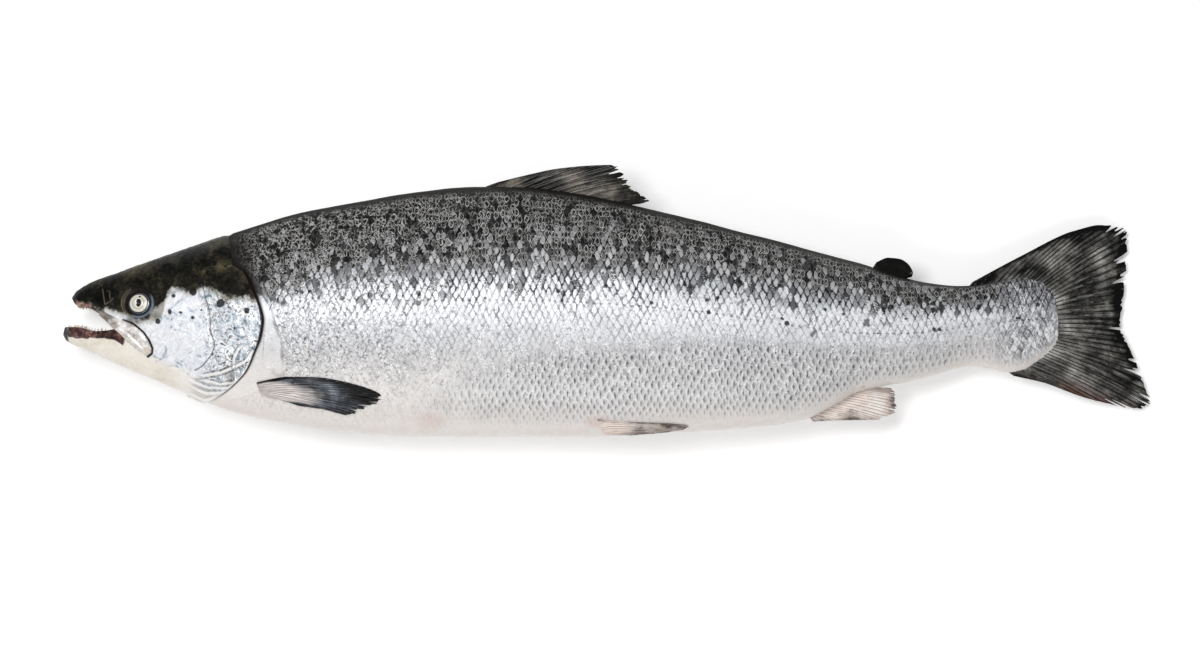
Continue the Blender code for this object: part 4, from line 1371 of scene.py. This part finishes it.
def build_fin(rays, place, soft_rays, root, tip, seed, ragged, splits, frayed, length):
    """Both skins of a fin. rays are (root a, root b, tip a, tip b), read smoothly across the fin;
    soft_rays real rays fan out over it, each a ridge that forks towards the tip with a thinner web
    beside it. Between the two shares in frayed the margin is cut back by small teeth, by a seeded
    unevenness and by splits that run in along a web."""
    rng = np.random.default_rng(seed)
    down, across = soft_rays * 16 + 1, 80
    v = np.linspace(0, 1, down)[:, None]
    u = np.linspace(0, 1, across)[None, :]
    root_a, root_b, tip_a, tip_b = (curve(v) for curve in row_curves(rays))
    phase = v * soft_rays
    web = 0.5 - 0.5 * np.cos(2 * math.pi * phase)
    teeth = 0.6 * np.abs(2 * np.mod(phase * 2.5 + value_noise(phase, 0 * phase, 0.7, seed + 2), 1.0) - 1)
    cut = ragged * (0.3 * web + 1.4 * teeth * value_noise(phase * 3, 0 * phase, 1.3, seed))
    cut = cut + ragged * 0.9 * value_noise(phase, 0 * phase, 1.9, seed + 4)
    for _ in range(splits):
        centre = rng.uniform(*frayed)
        cut = np.maximum(cut, rng.uniform(0.09, 0.25) * fade(0.15, 0.04, np.abs(v - centre) * soft_rays))
    cut = cut * fade(frayed[0] - 0.04, frayed[0] + 0.04, v) * fade(frayed[1] + 0.04, frayed[1] - 0.04, v)
    reach = u * (length - cut)
    bow = 0.03 * np.sin(math.pi * u)
    a = root_a + (tip_a - root_a) * reach
    b = root_b + (tip_b - root_b) * reach
    a, b = a - (tip_b - root_b) * bow, b + (tip_a - root_a) * bow * 0.4
    fork = fade(0.35, 0.8, u)
    ridge = (1 - fork) * np.cos(2 * math.pi * phase) + fork * np.cos(6 * math.pi * phase) * 0.7
    body = root + (tip - root) * fade(0.0, 0.9, reach)
    margin = np.sqrt(np.clip(1 - (1 - np.clip((1 - u) * 14, 0, 1)) ** 2, 0.0, 1))
    sides = np.sqrt(np.clip(1 - (1 - np.clip(np.minimum(v, 1 - v) * soft_rays * 2.5, 0, 1)) ** 2, 0.0, 1))
    thick = body * (0.86 + (0.14 if ragged else 0.0) * ridge) * (0.25 + 0.75 * margin * sides)
    sway = (value_noise(v * 6 + 0 * u, u * 2 + 0 * v, 1.0, seed + 1) - 0.5) * 2.2 * fade(0.1, 1.0, u)
    low, high = place(a, b, sway, thick)
    fields = {"web": web + 0 * u, "reach": reach + 0 * v, "across": v + 0 * u}
    places = np.stack([u * 60 + 0 * v, phase * RAY_UNIT + 0 * u], -1) * MM
    return high, low, places, fields


def standing(a, b, sway, thick):
    """Both skins of a fin in the mid-plane."""
    return placed(a, b, sway - thick / 2), placed(a, b, sway + thick / 2)


def lying(hand, drop=0.0):
    """Both skins of a fin folded along the flank."""

    def place(a, b, sway, thick):
        lift = 0.35 + np.abs(sway) * 0.35
        return lifted(a, b - drop, lift, hand), lifted(a, b - drop, lift + thick, hand)

    return place


def beside_belly(hand):
    """Both skins of a fin beside the belly's edge; its second number is degrees round the section."""

    def place(a, b, sway, thick):
        angle = np.radians(b)
        step = 0.02
        _, height, side = ring_point(a, angle)
        _, next_height, next_side = ring_point(a, angle + step)
        run, fall = side - next_side, height - next_height
        length = np.hypot(run, fall)
        skins = []
        for lift in (0.35 + np.abs(sway) * 0.2, 0.35 + np.abs(sway) * 0.2 + thick):
            skins.append(placed(a, height - run / length * lift, hand * (side + fall / length * lift)))
        return skins

    return place


def build_fins():
    """All eight fins, the paired ones once for each side."""
    brown = (tone(11, 11, 10), tone(40, 38, 34), tone(86, 82, 75), tone(134, 127, 117))
    soot = (tone(7, 7, 7), tone(12, 12, 11), tone(19, 19, 17), tone(34, 32, 29))
    dusk = (tone(10, 10, 10), tone(66, 65, 63), tone(120, 119, 115), tone(176, 175, 172))
    blue = (tone(10, 10, 11), tone(38, 40, 44), tone(88, 94, 102), tone(158, 164, 172))
    rose = (tone(82, 74, 71), tone(188, 174, 167), tone(232, 222, 214), tone(244, 238, 232))
    cream = (tone(226, 208, 198), tone(244, 232, 224))
    dark = fin_finish("dark_fin", brown, (tone(40, 38, 35), tone(110, 104, 95)), (-0.3, 0.0), 0.6, lines=0.55)
    black = fin_finish("black_fin", soot, (tone(20, 20, 18), tone(40, 39, 36)), (-0.3, 0.0), 0.0, lines=0.0)
    tail = fin_finish("tail_fin", dusk, (tone(92, 91, 89), tone(160, 160, 160)), (0.02, 0.0), 0.5, stain=0.8)
    pale = fin_finish("pale_fin", rose, cream, (0.4, 0.0), 0.0, lines=0.6, stain=0.45)
    breast = fin_finish(
        "breast_fin", blue, (tone(204, 196, 193), tone(240, 232, 227)), (0.30, 0.34), 1.1, lines=0.8
    )
    # node, rays, finish, slot, placing, soft rays, root and tip thickness, seed, uneven margin,
    # splits, where along the fin its margin is frayed, and how far past the plain outline it goes
    jobs = [
        ("dorsal_fin", DORSAL_RAYS, dark, "dark_fin", standing, 13, 3.2, 0.9, 51, 0.10, 7, (0.42, 0.97), 1.02),
        ("adipose_fin", ADIPOSE_RAYS, black, "dark_fin", standing, 6, 3.4, 1.8, 52, 0.0, 0, (0.4, 0.6), 1.0),
        ("anal_fin", ANAL_RAYS, pale, "pale_fin", standing, 11, 3.0, 0.9, 53, 0.09, 5, (0.40, 0.95), 1.02),
        ("caudal_fin", TAIL_RAYS, tail, "dark_fin", standing, 26, 5.0, 0.9, 54, 0.05, 18, (0.22, 0.84), 1.06),
    ]
    for label, hand in (("left", 1), ("right", -1)):
        drop = 0.0 if hand > 0 else RIGHT_PECTORAL_DROP
        pectoral = lying(hand, drop)
        pelvic = beside_belly(hand)
        jobs.append((
            f"pectoral_fin_{label}", PECTORAL_RAYS, breast, "dark_fin", pectoral,
            13, 2.4, 0.9, 55, 0.07, 6, (0.42, 0.9), 1.03,
        ))
        jobs.append((
            f"pelvic_fin_{label}", PELVIC_RAYS, pale, "pale_fin", pelvic,
            9, 2.2, 0.9, 56, 0.06, 3, (0.3, 0.9), 1.02,
        ))
    for node, rays, finish, slot, place, soft_rays, root, tip, seed, ragged, splits, frayed, length in jobs:
        high, low, places, fields = build_fin(
            rays, place, soft_rays, root, tip, seed, ragged, splits, frayed, length
        )
        closed_plate(f"{node}_skin", high, low, finish, slot, (node,), places, fields)


# ---- floor, light and camera ----


def build_stage():
    """White floor that keeps the fish's soft shadow, pale walls of light, and the camera above."""
    floor = Finish("white_floor", roughness=0.9)
    floor.feed("Base Color", tone(250, 250, 250))
    size = 6.0
    below = -0.0002
    corners = np.array([
        [-size, -size, below], [size, -size, below], [size, size, below], [-size, size, below],
    ])
    mesh = bpy.data.meshes.new("floor")
    mesh.from_pydata(corners.tolist(), [], [(0, 1, 2, 3)])
    ground = bpy.data.objects.new("floor", mesh)
    mesh.materials.append(floor.material)
    bpy.context.scene.collection.objects.link(ground)
    tree = floor.tree
    path = floor.node("ShaderNodeLightPath")
    glow = floor.node("ShaderNodeEmission", None, {"Color": (1, 1, 1, 1), "Strength": 0.26})
    straight = Value(floor, path.outputs["Is Camera Ray"])
    seen = floor.math("MAXIMUM", straight, Value(floor, path.outputs["Is Glossy Ray"]))
    both = floor.node("ShaderNodeAddShader")
    tree.links.new(floor.shader.outputs[0], both.inputs[0])
    tree.links.new(glow.outputs[0], both.inputs[1])
    choice = floor.node("ShaderNodeMixShader", None, {0: seen})
    tree.links.new(floor.shader.outputs[0], choice.inputs[1])
    tree.links.new(both.outputs[0], choice.inputs[2])
    output = next(node for node in tree.nodes if node.type == "OUTPUT_MATERIAL")
    tree.links.new(choice.outputs[0], output.inputs["Surface"])

    world = bpy.data.worlds.new("studio")
    world.use_nodes = True
    background = world.node_tree.nodes["Background"]
    background.inputs["Color"].default_value = (1, 1, 1, 1)
    background.inputs["Strength"].default_value = 0.24
    bpy.context.scene.world = world

    def lamp(name, place, aim, width, depth, watts):
        light = bpy.data.lights.new(name, "AREA")
        light.shape = "RECTANGLE"
        light.size, light.size_y = width, depth
        light.energy = watts
        thing = bpy.data.objects.new(name, light)
        direction = np.array(aim) - np.array(place)
        thing.rotation_euler = Vector(direction).to_track_quat("-Z", "Y").to_euler()
        thing.location = place
        bpy.context.scene.collection.objects.link(thing)

    lamp("soft_top", (-0.5, 0.55, 2.0), (0, 0, 0.04), 1.3, 0.6, 30)
    lamp("soft_front", (0.0, -1.3, 1.3), (0, 0, 0.04), 1.4, 0.7, 11)

    camera = bpy.data.cameras.new("camera")
    camera.lens = 150
    camera.sensor_width = 36
    view_width = 0.84
    distance = view_width * camera.lens / camera.sensor_width
    camera.clip_end = 50
    eye = bpy.data.objects.new("camera", camera)
    eye.location = (-0.0063, -0.0224, smooth(MID_LEVEL, 300.0) * MM + distance)
    bpy.context.scene.collection.objects.link(eye)
    bpy.context.scene.camera = eye
    bpy.context.scene.view_settings.view_transform = "Standard"


build_trunk()
head_finish = head_skin_finish()
build_head(head_finish)
build_gill_covers(head_finish)
build_upper_lips(lip_finish())
build_mouth(flesh_finish())
build_teeth(tooth_finish())
build_eyes(eye_finish())
build_fins()
build_stage()
